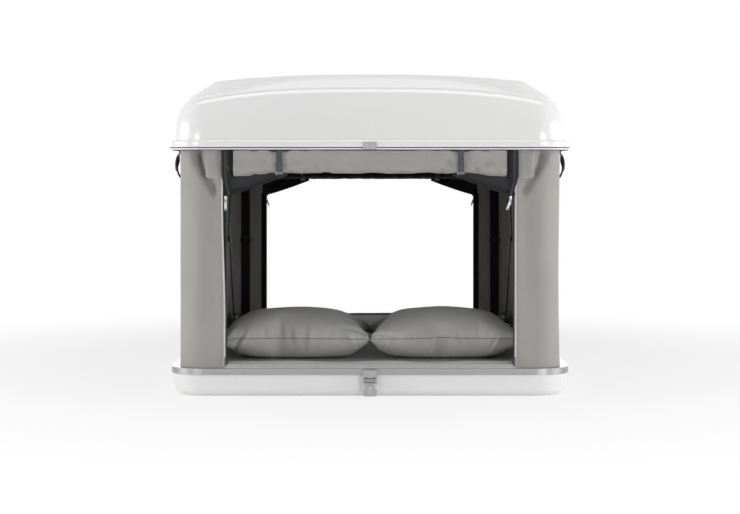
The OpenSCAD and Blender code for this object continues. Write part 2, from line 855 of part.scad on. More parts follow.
// Slider with a hanging tab on each zip, at the foot of the corner panel
module zip_pulls() {
    tab_w = 7;
    tab_h = 38;
    slider_h = 12;
    face_y = -wall_y - 2 * seat_gap - webbing_t;
    color("silver")
        for (rear = [false, true])
            let (z = gusset_tip(rear ? rear_roll_r : front_roll_r) - slider_h)
            to_end(rear)
                for (sx = ends)
                    translate([sx * (gusset_side - tab_w / 2 - 1), face_y, z]) {
                        span([-tab_w / 2, -tab_w / 2, 0], [tab_w / 2, 0, slider_h]);
                        difference() {
                            span([-tab_w / 2, -tab_w / 2 - webbing_t, slider_h - tab_h],
                                [tab_w / 2, -tab_w / 2, slider_h]);
                            translate([0, 1, slider_h - tab_h + tab_w / 2])
                                rotate([90, 0, 0]) cylinder(d = tab_w / 2, h = 2 * tab_w);
                        }
                    }
}

// Webbing loops high on the side walls near the corners
module side_loops() {
    out = 9;
    half_h = 42;
    loop_w = 25;
    top_gap = 6;
    color("#151517")
        for (right = [false, true])
            for (rear = [false, true])
                to_corner(right, rear)
                    translate([-wall_x - seat_gap - out, wall_r + loop_w - wall_y, lid_z - half_h - top_gap])
                        rotate([90, 0, 0])
                            linear_extrude(loop_w) rr_frame(out, half_h, out - 1, out - webbing_t,
                                half_h - webbing_t, out - 1 - webbing_t);
}

// Lift mechanism, each piece drawn at the front left corner

// Flat bar in the YZ plane from the origin along +Y, with round ends
module bar_outline(l, w) {
    translate([0, -w / 2]) square([l, w]);
    circle(w / 2);
    translate([l, 0]) circle(w / 2);
}

module plate_yz(t) {
    rotate([90, 0, 90]) linear_extrude(t) children();
}

module base_brackets() {
    head_r = stud_r * 1.6;
    head_t = 2;
    top = pivot_z + 2.5 * stud_r;
    color("#3a3a3c")
        for (right = [false, true])
            for (rear = [false, true])
                to_corner(right, rear)
                    translate([0, -pivot_y, 0]) {
                        span([-upper_x - arm_t, -web_half / 2, floor_z], [-upper_x, web_half, top]);
                        span([-upper_x, -web_half / 2, floor_z],
                            [-lower_x + barrel_r, web_half, floor_z + foot_t]);
                        x_rod(-upper_x, -lower_x + slot_play + head_t, 0, pivot_z, stud_r);
                        x_rod(-lower_x + slot_play, -lower_x + slot_play + head_t, 0, pivot_z, head_r);
                    }
}

// Bar with the elbow stud and the lug that the gas spring pushes
lug_pin_r = stud_r * 0.8;

module lower_arm() {
    lug_angle = 90 - (arm_open + arm_fold) / 2;
    lug_pin_l = lower_x - gas_x + eye_half * 0.7;
    color("#2b2b2d")
        translate([-lower_x - arm_t, -pivot_y, pivot_z])
            rotate([arm_open, 0, 0]) {
                plate_yz(arm_t)
                    difference() {
                        union() {
                            bar_outline(arm_l, arm_w);
                            rotate(lug_angle) bar_outline(lug_l, 4 * lug_pin_r);
                        }
                        circle(bore_r);
                    }
                x_rod(-bar_gap - arm_t - seat_gap, 0, arm_l, 0, stud_r);
                rotate([lug_angle, 0, 0]) x_rod(arm_t, arm_t + lug_pin_l, lug_l, 0, lug_pin_r);
            }
}

// Bar from the elbow up to the stud that rides in the lid bracket's slot
module upper_arm() {
    color("#2b2b2d")
        translate([-upper_x - arm_t, -elbow_y, elbow_z])
            rotate([180 - arm_open, 0, 0]) {
                plate_yz(arm_t)
                    difference() {
                        bar_outline(arm_l, arm_w);
                        circle(bore_r);
                    }
                x_rod(-bar_gap - arm_t - seat_gap, 0, arm_l, 0, stud_r);
            }
}

module lower_arm_front_left() {
    lower_arm();
}

module lower_arm_front_right() {
    to_corner(true, false) lower_arm();
}

module lower_arm_rear_left() {
    to_corner(false, true) lower_arm();
}

module lower_arm_rear_right() {
    to_corner(true, true) lower_arm();
}

module upper_arm_front_left() {
    upper_arm();
}

module upper_arm_front_right() {
    to_corner(true, false) upper_arm();
}

module upper_arm_rear_left() {
    to_corner(false, true) upper_arm();
}

module upper_arm_rear_right() {
    to_corner(true, true) upper_arm();
}

// Cylinder along +Y from a place
module y_rod(x, y, z, r, l) {
    translate([x, y, z]) rotate([-90, 0, 0]) cylinder(r = r, h = l);
}

module gas_barrels() {
    end_wall = 12;
    color("#202022")
        for (right = [false, true])
            for (rear = [false, true])
                to_corner(right, rear)
                    difference() {
                        y_rod(-gas_x, -barrel_end_y, gas_z, barrel_r, barrel_l);
                        y_rod(-gas_x, -barrel_end_y - 1, gas_z, rod_r + stud_play, barrel_l - end_wall + 1);
                    }
}

module gas_saddles() {
    half = barrel_r * 0.75;
    inset = 30;
    color("#3a3a3c")
        for (right = [false, true])
            for (rear = [false, true])
                to_corner(right, rear)
                    for (along = [inset, barrel_l - inset - saddle_t])
                        difference() {
                            span([-gas_x - half, along - barrel_end_y, floor_z],
                                [-gas_x + half, along + saddle_t - barrel_end_y, gas_z - barrel_r / 2]);
                            y_rod(-gas_x, along - barrel_end_y - 1, gas_z, barrel_r + seat_gap / 3,
                                saddle_t + 2);
                        }
}

// Rod with a slotted eye round the lower arm's lug pin
module gas_rod() {
    eye_y = -pivot_y - lug_dy;
    eye_x = barrel_r * 0.7;
    slot_half = lug_l * (1 - cos(lug_half)) / 2;
    slot_r = lug_pin_r + 2 * slot_play;
    inside = 60;
    color("gainsboro") {
        difference() {
            span([-gas_x - eye_x, eye_y - eye_half, gas_z - eye_half],
                [-gas_x + eye_x, eye_y + eye_half, gas_z + eye_half]);
            for (k = ends)
                x_rod(-gas_x - eye_x - 1, -gas_x + eye_x + 1, eye_y, gas_z + k * slot_half, slot_r);
            span([-gas_x - eye_x - 1, eye_y - slot_r, gas_z - slot_half],
                [-gas_x + eye_x + 1, eye_y + slot_r, gas_z + slot_half]);
        }
        y_rod(-gas_x, eye_y + eye_half - 1, gas_z, rod_r, inside + 1 - barrel_end_y - eye_y - eye_half);
    }
}

module gas_rod_front_left() {
    gas_rod();
}

module gas_rod_front_right() {
    to_corner(true, false) gas_rod();
}

module gas_rod_rear_left() {
    to_corner(false, true) gas_rod();
}

module gas_rod_rear_right() {
    to_corner(true, true) gas_rod();
}

// Draw latch, drawn at the front end

ear_r = 6;
latch_bore_r = latch_pin_r + stud_play;

module latch_plate() {
    color("silver") {
        span([-latch_w / 2, -plate_y, lever_z - 2 * ear_r], [latch_w / 2, -rim_y, claw_top]);
        for (x = [-ear_x - ear_t, ear_x]) {
            x_rod(x, x + ear_t, -lever_y, lever_z, ear_r - 1);
            span([x, -lever_y, lever_z - ear_r + 1], [x + ear_t, -plate_y, lever_z + ear_r - 1]);
        }
        x_rod(-cheek_x - ear_t, cheek_x + ear_t, -lever_y, lever_z, latch_pin_r);
    }
}

// Lever: two cheeks on the pivot, a waisted handle with a slot, and the claw's pin
module latch_lever() {
    foot = 4;
    notch_z = claw_z * 0.55;
    handle_top = claw_z - ear_r;
    slot_r = 5;
    color("silver") {
        difference() {
            union() {
                for (x = [-cheek_x - ear_t, cheek_x]) {
                    x_rod(x, x + ear_t, -lever_y, lever_z, ear_r - 0.5);
                    span([x, -front_y, claw_z - 2 * ear_r], [x + ear_t, 2 - lever_y, claw_z + latch_pin_r]);
                    span([x, -claw_y - 3, claw_z], [x + ear_t, 4 - lever_y, lever_z]);
                }
                span([-cheek_x - ear_t, -front_y, notch_z], [cheek_x + ear_t, latch_t - front_y, handle_top]);
                span([-latch_w / 2, -front_y, foot + slot_r], [latch_w / 2, latch_t - front_y, notch_z]);
                span([slot_r - latch_w / 2, -front_y, foot],
                    [latch_w / 2 - slot_r, latch_t - front_y, foot + slot_r]);
                for (sx = ends)
                    translate([sx * (latch_w / 2 - slot_r), -front_y, foot + slot_r])
                        rotate([-90, 0, 0]) cylinder(r = slot_r, h = latch_t);
            }
            x_rod(-latch_w, latch_w, -lever_y, lever_z, latch_bore_r);
            translate([0, -front_y - 1, notch_z / 2 + foot])
                rotate([-90, 0, 0]) cylinder(r = slot_r, h = latch_t + 2);
            span([-slot_r, -front_y - 1, notch_z / 2 + foot],
                [slot_r, latch_t + 1 - front_y, handle_top - ear_t]);
        }
        x_rod(-latch_w / 2, latch_w / 2, -claw_y, claw_z, latch_pin_r);
    }
}

// Claw: two arms on the lever's pin and a hooked plate above
module latch_claw() {
    hook = 5;
    plate_z = lever_z + ear_r + 2;
    color("gainsboro")
        difference() {
            union() {
                for (x = [-latch_w / 2, claw_arm_x]) {
                    x_rod(x, x + ear_t, -claw_y, claw_z, ear_r - 1.5);
                    span([x, -front_y, claw_z], [x + ear_t, 3 - claw_y, plate_z + 2]);
                }
                span([-latch_w / 2, -front_y, plate_z], [latch_w / 2, latch_t - front_y, claw_top]);
                span([-latch_w / 2, -front_y, claw_top - latch_t],
                    [latch_w / 2, latch_t + hook - front_y, claw_top]);
            }
            x_rod(-latch_w, latch_w, -claw_y, claw_z, latch_bore_r);
        }
}

// Keeper on the lid's lip, with two slots and an outturned lower edge
module keeper() {
    height = 24;
    turn = 6;
    slot_w = 10;
    slot_h = 4;
    lip_y = tent_l / 2;
    color("silver")
        difference() {
            union() {
                span([-keeper_w / 2, -lip_y - latch_t, lid_z], [keeper_w / 2, -lip_y, lid_z + height]);
                span([-keeper_w / 2, -lip_y - turn, lid_z], [keeper_w / 2, -lip_y, lid_z + latch_t]);
            }
            for (sx = ends)
                translate([sx * keeper_w / 4, 0, 0])
                    span([-slot_w / 2, -lip_y - turn - 1, lid_z + height / 2],
                        [slot_w / 2, -lip_y + 1, lid_z + height / 2 + slot_h]);
        }
}

module latch_plate_front() {
    latch_plate();
}

module latch_plate_rear() {
    to_end(true) latch_plate();
}

module latch_lever_front() {
    latch_lever();
}

module latch_lever_rear() {
    to_end(true) latch_lever();
}

module latch_claw_front() {
    latch_claw();
}

module latch_claw_rear() {
    to_end(true) latch_claw();
}

module keeper_front() {
    keeper();
}

module keeper_rear() {
    to_end(true) keeper();
}

base_shell();
base_rim();
rim_rivets();
sill_rails();
mount_rails();
floor_board();
mattress();
pillow_left();
pillow_right();
base_brackets();
gas_barrels();
gas_saddles();
latch_plate_front();
latch_plate_rear();
pillar_front_left();
pillar_front_right();
pillar_rear_left();
pillar_rear_right();
side_wall_left();
side_wall_right();
tension_straps();
ladder_locks();
lid_shell();
lid_trim();
lid_seal();
lid_frame();
lid_liner();
lid_brackets();
keeper_front();
keeper_rear();
front_door_roll();
rear_door_roll();
front_roll_straps();
rear_roll_straps();
front_door_hems();
rear_door_hems();
front_gussets();
rear_gussets();
zip_tapes();
zip_pulls();
side_loops();
lower_arm_front_left();
lower_arm_front_right();
lower_arm_rear_left();
lower_arm_rear_right();
upper_arm_front_left();
upper_arm_front_right();
upper_arm_rear_left();
upper_arm_rear_right();
gas_rod_front_left();
gas_rod_front_right();
gas_rod_rear_left();
gas_rod_rear_right();
latch_lever_front();
latch_lever_rear();
latch_claw_front();
latch_claw_rear();
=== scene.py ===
"""Roof top tent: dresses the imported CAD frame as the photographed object."""
import json
import math

import bmesh
import bpy
import numpy as np
from mathutils import Matrix, Vector


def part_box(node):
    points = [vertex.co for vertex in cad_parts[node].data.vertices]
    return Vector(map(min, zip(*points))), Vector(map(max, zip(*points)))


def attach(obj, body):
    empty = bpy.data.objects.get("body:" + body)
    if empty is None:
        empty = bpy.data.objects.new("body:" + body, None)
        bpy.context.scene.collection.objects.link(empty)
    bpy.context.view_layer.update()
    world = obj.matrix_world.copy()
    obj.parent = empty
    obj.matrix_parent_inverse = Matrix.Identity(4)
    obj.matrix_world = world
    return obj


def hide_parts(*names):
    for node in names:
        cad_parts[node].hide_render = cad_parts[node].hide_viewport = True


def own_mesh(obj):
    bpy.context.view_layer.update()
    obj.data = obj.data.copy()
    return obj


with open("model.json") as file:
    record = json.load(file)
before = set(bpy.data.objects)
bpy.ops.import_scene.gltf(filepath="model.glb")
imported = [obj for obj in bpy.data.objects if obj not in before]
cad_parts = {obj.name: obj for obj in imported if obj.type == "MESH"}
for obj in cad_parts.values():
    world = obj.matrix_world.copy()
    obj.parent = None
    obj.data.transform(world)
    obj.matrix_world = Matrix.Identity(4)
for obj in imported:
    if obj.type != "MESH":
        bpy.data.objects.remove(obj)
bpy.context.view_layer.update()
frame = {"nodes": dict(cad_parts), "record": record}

# Sizes shared with the CAD model, in metres
CORNER_R, SEAT_GAP = 0.110, 0.0003
LID_Z, LIP_TOP = 0.781, 0.811
BODY_X, BODY_Y = 0.636, 1.036
WALL_X, WALL_Y, WALL_R, WALL_T = 0.610, 1.010, 0.080, 0.003
WALL_BOTTOM, WALL_TOP = 0.0893, 0.7927
JAMB_X, PILLAR_END = 0.462, 0.560
ROLL_HALF, ROLL_Y, STRAP_X, STRAP_W = 0.432, 1.000, 0.287, 0.018
FRONT_ROLL, REAR_ROLL = 0.041, 0.054
GUSSET_REACH, GUSSET_DROP, ZIP_W = 0.200, 0.065, 0.014
BED_X, BED_Y, BED_Z, BED_TOP = 0.548, 0.982, 0.031, 0.103
FLOOR_Z = 0.0193

ENDS = ((False, "front"), (True, "rear"))
SIDES = ((-1, "left"), (1, "right"))
CORNERS = [(rear, end, sx, side) for rear, end in ENDS for sx, side in SIDES]
SQUARE = ((-1, -1), (1, -1), (1, 1), (-1, 1))


# Shape helpers

def smooth(t):
    c = np.clip(t, 0, 1)
    return c * c * (3 - 2 * c)


def bell(x, at, width):
    return np.exp(-((x - at) / width) ** 2)


def ripple(*coords, seed, count=5, low=1.0, high=4.0):
    """Smooth repeatable variation from -1 to 1 over any number of coordinates."""
    r = np.random.default_rng(seed)
    total = 0
    for _ in range(count):
        phase = r.uniform(0, 2 * math.pi)
        for c in coords:
            phase = phase + c * r.uniform(low, high) * r.choice([-1, 1])
        total = total + np.sin(phase)
    return total / count


def xyz(x, y, z):
    """Points, or a grid of points, from coordinates that are numbers or arrays."""
    return np.stack(np.broadcast_arrays(x, y, z), axis=-1)


def steps(points):
    return np.linalg.norm(np.diff(points, axis=0), axis=1)


def run_of(points):
    """Distance along a line of points, from 0 at its start."""
    return np.concatenate([[0], np.cumsum(steps(points))])


def unit(v):
    return v / np.linalg.norm(v, axis=-1, keepdims=True)


def link(name, data):
    """A new object in the scene that shows a mesh, a lamp or a camera."""
    obj = bpy.data.objects.new(name, data)
    bpy.context.scene.collection.objects.link(obj)
    return obj


def shade(mesh, sharp):
    """Smooth shading, with edges sharper than an angle in degrees left sharp."""
    mesh.polygons.foreach_set("use_smooth", np.ones(len(mesh.polygons), bool))
    mesh.set_sharp_from_angle(angle=math.radians(sharp))


def build(name, verts, faces, materials, face_mats=None, uvs=None, sharp=50):
    mesh = bpy.data.meshes.new(name)
    mesh.from_pydata([tuple(map(float, v)) for v in verts], [], [tuple(map(int, f)) for f in faces])
    for m in materials:
        mesh.materials.append(m)
    if face_mats is not None:
        mesh.polygons.foreach_set("material_index", np.asarray(face_mats, np.int32))
    if uvs is not None:
        layer = mesh.uv_layers.new(name="UVMap")
        loops = np.empty(len(mesh.loops), np.int32)
        mesh.loops.foreach_get("vertex_index", loops)
        layer.data.foreach_set("uv", np.asarray(uvs, np.float32)[loops].ravel())
    shade(mesh, sharp)
    mesh.update()
    return link(name, mesh)


def grid_faces(rows, cols, start=0, wrap=False, flip=False):
    faces = []
    for i in range(rows - 1):
        for j in range(cols if wrap else cols - 1):
            a, b = start + i * cols + j, start + i * cols + (j + 1) % cols
            q = [a, b, b + cols, a + cols]
            faces.append(q[::-1] if flip else q)
    return faces


def edge_ring(rows, cols):
    """Vertex numbers round the border of a grid, anticlockwise seen from above."""
    ring = [(0, j) for j in range(cols)] + [(i, cols - 1) for i in range(1, rows)]
    ring += [(rows - 1, j) for j in range(cols - 2, -1, -1)] + [(i, 0) for i in range(rows - 2, 0, -1)]
    return [i * cols + j for i, j in ring]


def ring_faces(a, b):
    """Faces between two rings of vertex numbers."""
    return [[p, q, s, r] for p, q, r, s in zip(a, b, a[1:] + a[:1], b[1:] + b[:1])]


def grid_normals(p):
    n = np.cross(np.gradient(p, axis=1), np.gradient(p, axis=0))
    return n / np.maximum(np.linalg.norm(n, axis=2, keepdims=True), 1e-12)


def thick_sheet(name, p, t, finish, uv=None, normals=None, flip=False):
    """Closed sheet: p is its outer face, and its inner face, of the last finish, lies t behind it."""
    materials = [M[k] for k in finish.split()]
    rows, cols = p.shape[:2]
    n = grid_normals(p) if normals is None else normals
    back = p + n * t if flip else p - n * t
    m = rows * cols
    outer, inner = grid_faces(rows, cols, flip=flip), grid_faces(rows, cols, start=m, flip=not flip)
    ring = edge_ring(rows, cols)
    edge = [q[::-1] if flip else q for q in ring_faces(ring, [m + k for k in ring])]
    mats = [0] * len(outer) + [len(materials) - 1] * len(inner) + [0] * len(edge)
    if uv is None:
        uv = np.stack(np.meshgrid(run_of(p[rows // 2]), run_of(p[:, cols // 2])), axis=2)
    verts = np.concatenate([p.reshape(-1, 3), back.reshape(-1, 3)])
    uvs = np.concatenate([uv.reshape(-1, 2)] * 2)
    return build(name, verts, outer + inner + edge, materials, mats, uvs, sharp=60)


def merge(name, objs):
    """Joins objects into one mesh that keeps every material and UV."""
    bm = bmesh.new()
    bm.loops.layers.uv.new("UVMap")
    mats = []
    for o in objs:
        mats += [m for m in o.data.materials if m not in mats]
        before = len(bm.faces)
        bm.from_mesh(o.data)
        bm.faces.ensure_lookup_table()
        for f in bm.faces[before:]:
            f.material_index = mats.index(o.data.materials[f.material_index])
    mesh = bpy.data.meshes.new(name)
    bm.to_mesh(mesh)
    bm.free()
    for m in mats:
        mesh.materials.append(m)
    for o in objs:
        bpy.data.objects.remove(o)
    return link(name, mesh)


def loft_rings(name, rings, materials, mats=None, close=False, caps=False, sharp=35):
    """Closed rings of equal point counts joined in order; close joins the last back to the first."""
    rings = np.asarray(rings, float)
    count, n = rings.shape[:2]
    last = (count - 1) * n
    faces = grid_faces(count, n, wrap=True)
    if close:
        faces += [[last + j, last + (j + 1) % n, (j + 1) % n, j] for j in range(n)]
    face_mats = [mats[i // n] if mats else 0 for i in range(len(faces))]
    if caps:
        faces += [list(range(n))[::-1], list(range(last, last + n))]
        face_mats += [face_mats[0], face_mats[-1]]
    uv = np.stack(np.meshgrid(run_of(rings[0]), run_of(rings[:, 0])), axis=2)
    return build(name, rings.reshape(-1, 3), faces, materials, face_mats, uv.reshape(-1, 2), sharp)


def rounded(hx, hy, r, n=20, side=10):
    """Points of a rounded rectangle, anticlockwise, with points along its straight sides too."""
    arcs = []
    for sx, sy, turn in ((1, 1, 0), (-1, 1, 90), (-1, -1, 180), (1, -1, 270)):
        angles = [math.radians(turn + 90 * i / n) for i in range(n + 1)]
        arcs.append([(sx * (hx - r) + r * math.cos(a), sy * (hy - r) + r * math.sin(a)) for a in angles])
    pts = []
    for arc, following in zip(arcs, arcs[1:] + arcs[:1]):
        (x0, y0), (x1, y1) = arc[-1], following[0]
        pts += arc + [(x0 + (x1 - x0) * t, y0 + (y1 - y0) * t) for t in (i / side for i in range(1, side))]
    return np.array(pts)


def profile_rings(profile, hx, hy, r):
    """A profile of (inset, height) pairs taken round a rounded rectangle, one ring for each pair."""
    return [xyz(*rounded(hx - inset, hy - inset, r - inset).T, z) for inset, z in profile]


def tube(name, points, radius, finish, sides=8):
    """Round cord along points, closed at both ends."""
    points = np.asarray(points, float)
    tangent = unit(np.gradient(points, axis=0))
    ref = np.array([0.31, 0.52, 0.11]) if abs(tangent[0][2]) > 0.7 else np.array([0, 0, 1.0])
    a = unit(np.cross(tangent, ref))
    b = np.cross(tangent, a)
    rings = [[points[i] + radius * (math.cos(t) * a[i] + math.sin(t) * b[i])
              for t in np.linspace(0, 2 * math.pi, sides, endpoint=False)] for i in range(len(points))]
    return loft_rings(name, rings, [M[finish]], caps=True, sharp=60)


def box(name, lo, hi, finish, bevel):
    bm = bmesh.new()
    bmesh.ops.create_cube(bm, size=1)
    lo, hi = Vector(lo), Vector(hi)
    for v in bm.verts:
        v.co = Vector([lo[i] + (v.co[i] + 0.5) * (hi[i] - lo[i]) for i in range(3)])
    bmesh.ops.bevel(bm, geom=bm.edges[:], offset=bevel, segments=2, affect="EDGES", profile=0.7)
    mesh = bpy.data.meshes.new(name)
    bm.to_mesh(mesh)
    bm.free()
    mesh.materials.append(M[finish])
    shade(mesh, 40)
    return link(name, mesh)


def turned(p, across, along):
    """Points mirrored in X and in Y, to move what is drawn at one corner to another."""
    return p * np.array([-1 if across else 1, -1 if along else 1, 1])


def moved(obj, name, across, along):
    """The object that takes obj's place at another corner, its mesh mirrored in X and in Y."""
    mesh = obj.data.copy()
    mesh.transform(Matrix.Diagonal((-1 if across else 1, -1 if along else 1, 1, 1)))
    if across != along:
        mesh.flip_normals()
    bpy.data.objects.remove(obj)
    return link(name, mesh)


# What each piece rides on

UP_KEEP, DOWN_KEEP, STRAP_KEEP, BED_KEEP = 0.012, 0.019, 0.105, 0.955


def on_lid(obj):
    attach(obj, "lid")


def on_base(obj):
    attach(obj, "base")


def fold_up(obj):
    """A piece that hangs from the lid: it rides on the lid, with a mesh of its own."""
    on_lid(obj)
    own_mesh(obj)


def fold_down(obj, z=WALL_BOTTOM, keep=DOWN_KEEP):
    """A piece of the walls: it rides on the base, with a mesh of its own."""
    on_base(obj)
    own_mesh(obj)


def fold_strap(obj):
    fold_down(obj, FLOOR_Z, STRAP_KEEP)


def press_bed(obj):
    fold_down(obj, BED_Z, BED_KEEP)


def dress(obj, place, node=None):
    """Places a piece, and hides the CAD node it replaces."""
    place(obj)
    if node:
        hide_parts(node)
    return obj


# Materials: each starts from its own colour, with detail from nodes

WAVE_PITCH = 0.314    # scale of a wave texture with ridges 1 m apart


def add_node(tree, kind, inputs=None, links=None, **props):
    """A new node with its properties, input values and incoming links."""
    node = tree.nodes.new(kind)
    for key, value in props.items():
        setattr(node, key, value)
    for key, value in (inputs or {}).items():
        node.inputs[key].default_value = value
    for key, source in (links or {}).items():
        tree.links.new(source, node.inputs[key])
    return node


class Paint:
    """A Principled material with a short way to add and link nodes."""

    def __init__(self, name, colour, rough, metal=0.0, **sockets):
        self.material = bpy.data.materials.new(name)
        self.material.use_nodes = True
        self.tree = self.material.node_tree
        self.shader = self.tree.nodes["Principled BSDF"]
        self.colour = colour
        sockets.update({"Base Color": (*colour, 1), "Roughness": rough, "Metallic": metal})
        for key, value in sockets.items():
            self.shader.inputs[key].default_value = value

    def add(self, kind, inputs=None, links=None, **props):
        return add_node(self.tree, kind, inputs, links, **props)

    def show(self, output, socket):
        self.tree.links.new(output, self.shader.inputs[socket])

    def coords(self, kind="Object", scale=(1, 1, 1)):
        place = self.add("ShaderNodeTexCoord")
        node = self.add("ShaderNodeMapping", {"Scale": scale}, {"Vector": place.outputs[kind]})
        return node.outputs["Vector"]

    def noise(self, vector, scale, detail=3.0, rough=0.55):
        values = {"Scale": scale, "Detail": detail, "Roughness": rough}
        return self.add("ShaderNodeTexNoise", values, {"Vector": vector}).outputs["Fac"]

    def wave(self, vector, pitch, direction, distort):
        values = {"Scale": WAVE_PITCH / pitch, "Distortion": distort, "Detail": 1.0}
        node = self.add("ShaderNodeTexWave", values, {"Vector": vector}, bands_direction=direction)
        return node.outputs["Fac"]

    def math(self, op, a, b):
        node = self.add("ShaderNodeMath", operation=op)
        for socket, value in zip(node.inputs, (a, b)):
            if isinstance(value, (int, float)):
                socket.default_value = value
            else:
                self.tree.links.new(value, socket)
        return node.outputs[0]

    def vary(self, fac, spread, start=0.3, end=0.7):
        """Colour from darker to lighter than the paint's own as fac goes from start to end."""
        node = self.add("ShaderNodeValToRGB", links={"Fac": fac})
        low, high = node.color_ramp.elements[0], node.color_ramp.elements[1]
        low.position, high.position = start, end
        low.color = (*[c * (1 - spread) for c in self.colour], 1)
        high.color = (*[min(1, c * (1 + spread)) for c in self.colour], 1)
        self.show(node.outputs["Color"], "Base Color")

    def vary_rough(self, fac, low, high):
        node = self.add("ShaderNodeMapRange", {"To Min": low, "To Max": high}, {"Value": fac})
        self.show(node.outputs["Result"], "Roughness")

    def bump(self, height, distance, strength):
        node = self.add("ShaderNodeBump", {"Strength": strength, "Distance": distance}, {"Height": height})
        self.show(node.outputs["Normal"], "Normal")


def woven(name, colour, pitch, depth, rough=0.8, sheen=0.25, kind="UV"):
    """Plain weave: warp and weft ridges, slubs and a soft large mottle."""
    p = Paint(name, colour, rough,
              **{"Sheen Weight": sheen, "Sheen Roughness": 0.5, "Specular IOR Level": 0.25})
    v = p.coords(kind)
    cloth = p.math("MULTIPLY", p.wave(v, pitch, "X", 0.4), p.wave(v, pitch, "Y", 0.4))
    slub = p.noise(v, 520, 2.0)
    mottle = p.noise(p.coords("Object"), 7.0, 4.0)
    p.vary(p.math("ADD", p.math("MULTIPLY", mottle, 0.2), p.math("MULTIPLY", slub, 0.8)), 0.13, 0.35, 0.65)
    p.vary_rough(slub, rough - 0.08, rough + 0.08)
    p.bump(p.math("ADD", cloth, slub), depth, 0.6)
    return p.material


def webbing(name, colour):
    """Ribbed strap webbing with its ribs across U and selvedge lines along V."""
    pitch = 0.0016
    p = Paint(name, colour, 0.6, **{"Sheen Weight": 0.3, "Specular IOR Level": 0.35})
    v = p.coords("UV")
    ribs = p.wave(v, pitch, "Y", 0.6)
    cords = p.wave(v, pitch * 2.2, "X", 0.2)
    p.vary(p.math("MULTIPLY", ribs, p.noise(v, 350)), 0.25, 0.1, 0.6)
    p.bump(p.math("ADD", ribs, p.math("MULTIPLY", cords, 0.7)), 0.0005, 0.8)
    return p.material


def brushed(name, colour, rough, stretch):
    """Metal with fine brush lines that run where stretch is small."""
    p = Paint(name, colour, rough, 1.0)
    lines = p.noise(p.coords("Object", stretch), 1.0, 6.0, 0.65)
    p.vary(lines, 0.05)
    p.vary_rough(lines, rough - 0.03, rough + 0.04)
    p.bump(lines, 0.00003, 0.5)
    return p.material


def moulded(name, colour, rough, grain, depth):
    """Plastic, rubber, thread or powder coat with a fine grain."""
    p = Paint(name, colour, rough)
    v = p.coords("Object")
    skin = p.noise(v, grain, 3.0)
    p.vary(p.noise(v, 11.0, 4.0), 0.08)
    p.vary_rough(skin, rough - 0.05, rough + 0.07)
    p.bump(skin, depth, 0.5)
    return p.material


def gelcoat(name, colour):
    """Glossy laminate: faint long ripples and a little haze."""
    p = Paint(name, colour, 0.2, **{"Coat Weight": 0.5, "Coat Roughness": 0.10})
    v = p.coords("Object")
    p.vary(p.noise(v, 2.2, 4.0), 0.012, 0.35, 0.65)
    p.vary_rough(p.noise(v, 30.0, 5.0), 0.16, 0.26)
    swell = p.noise(v, 5.0, 1.0)
    p.bump(p.math("ADD", swell, p.math("MULTIPLY", p.noise(v, 240.0, 2.0), 0.06)), 0.0006, 0.25)
    return p.material


def plywood(name, colour):
    p = Paint(name, colour, 0.55)
    grain = p.noise(p.coords("Object", (30, 1.6, 30)), 3.0, 6.0, 0.7)
    p.vary(grain, 0.3)
    p.vary_rough(grain, 0.45, 0.65)
    p.bump(grain, 0.0004, 0.6)
    return p.material


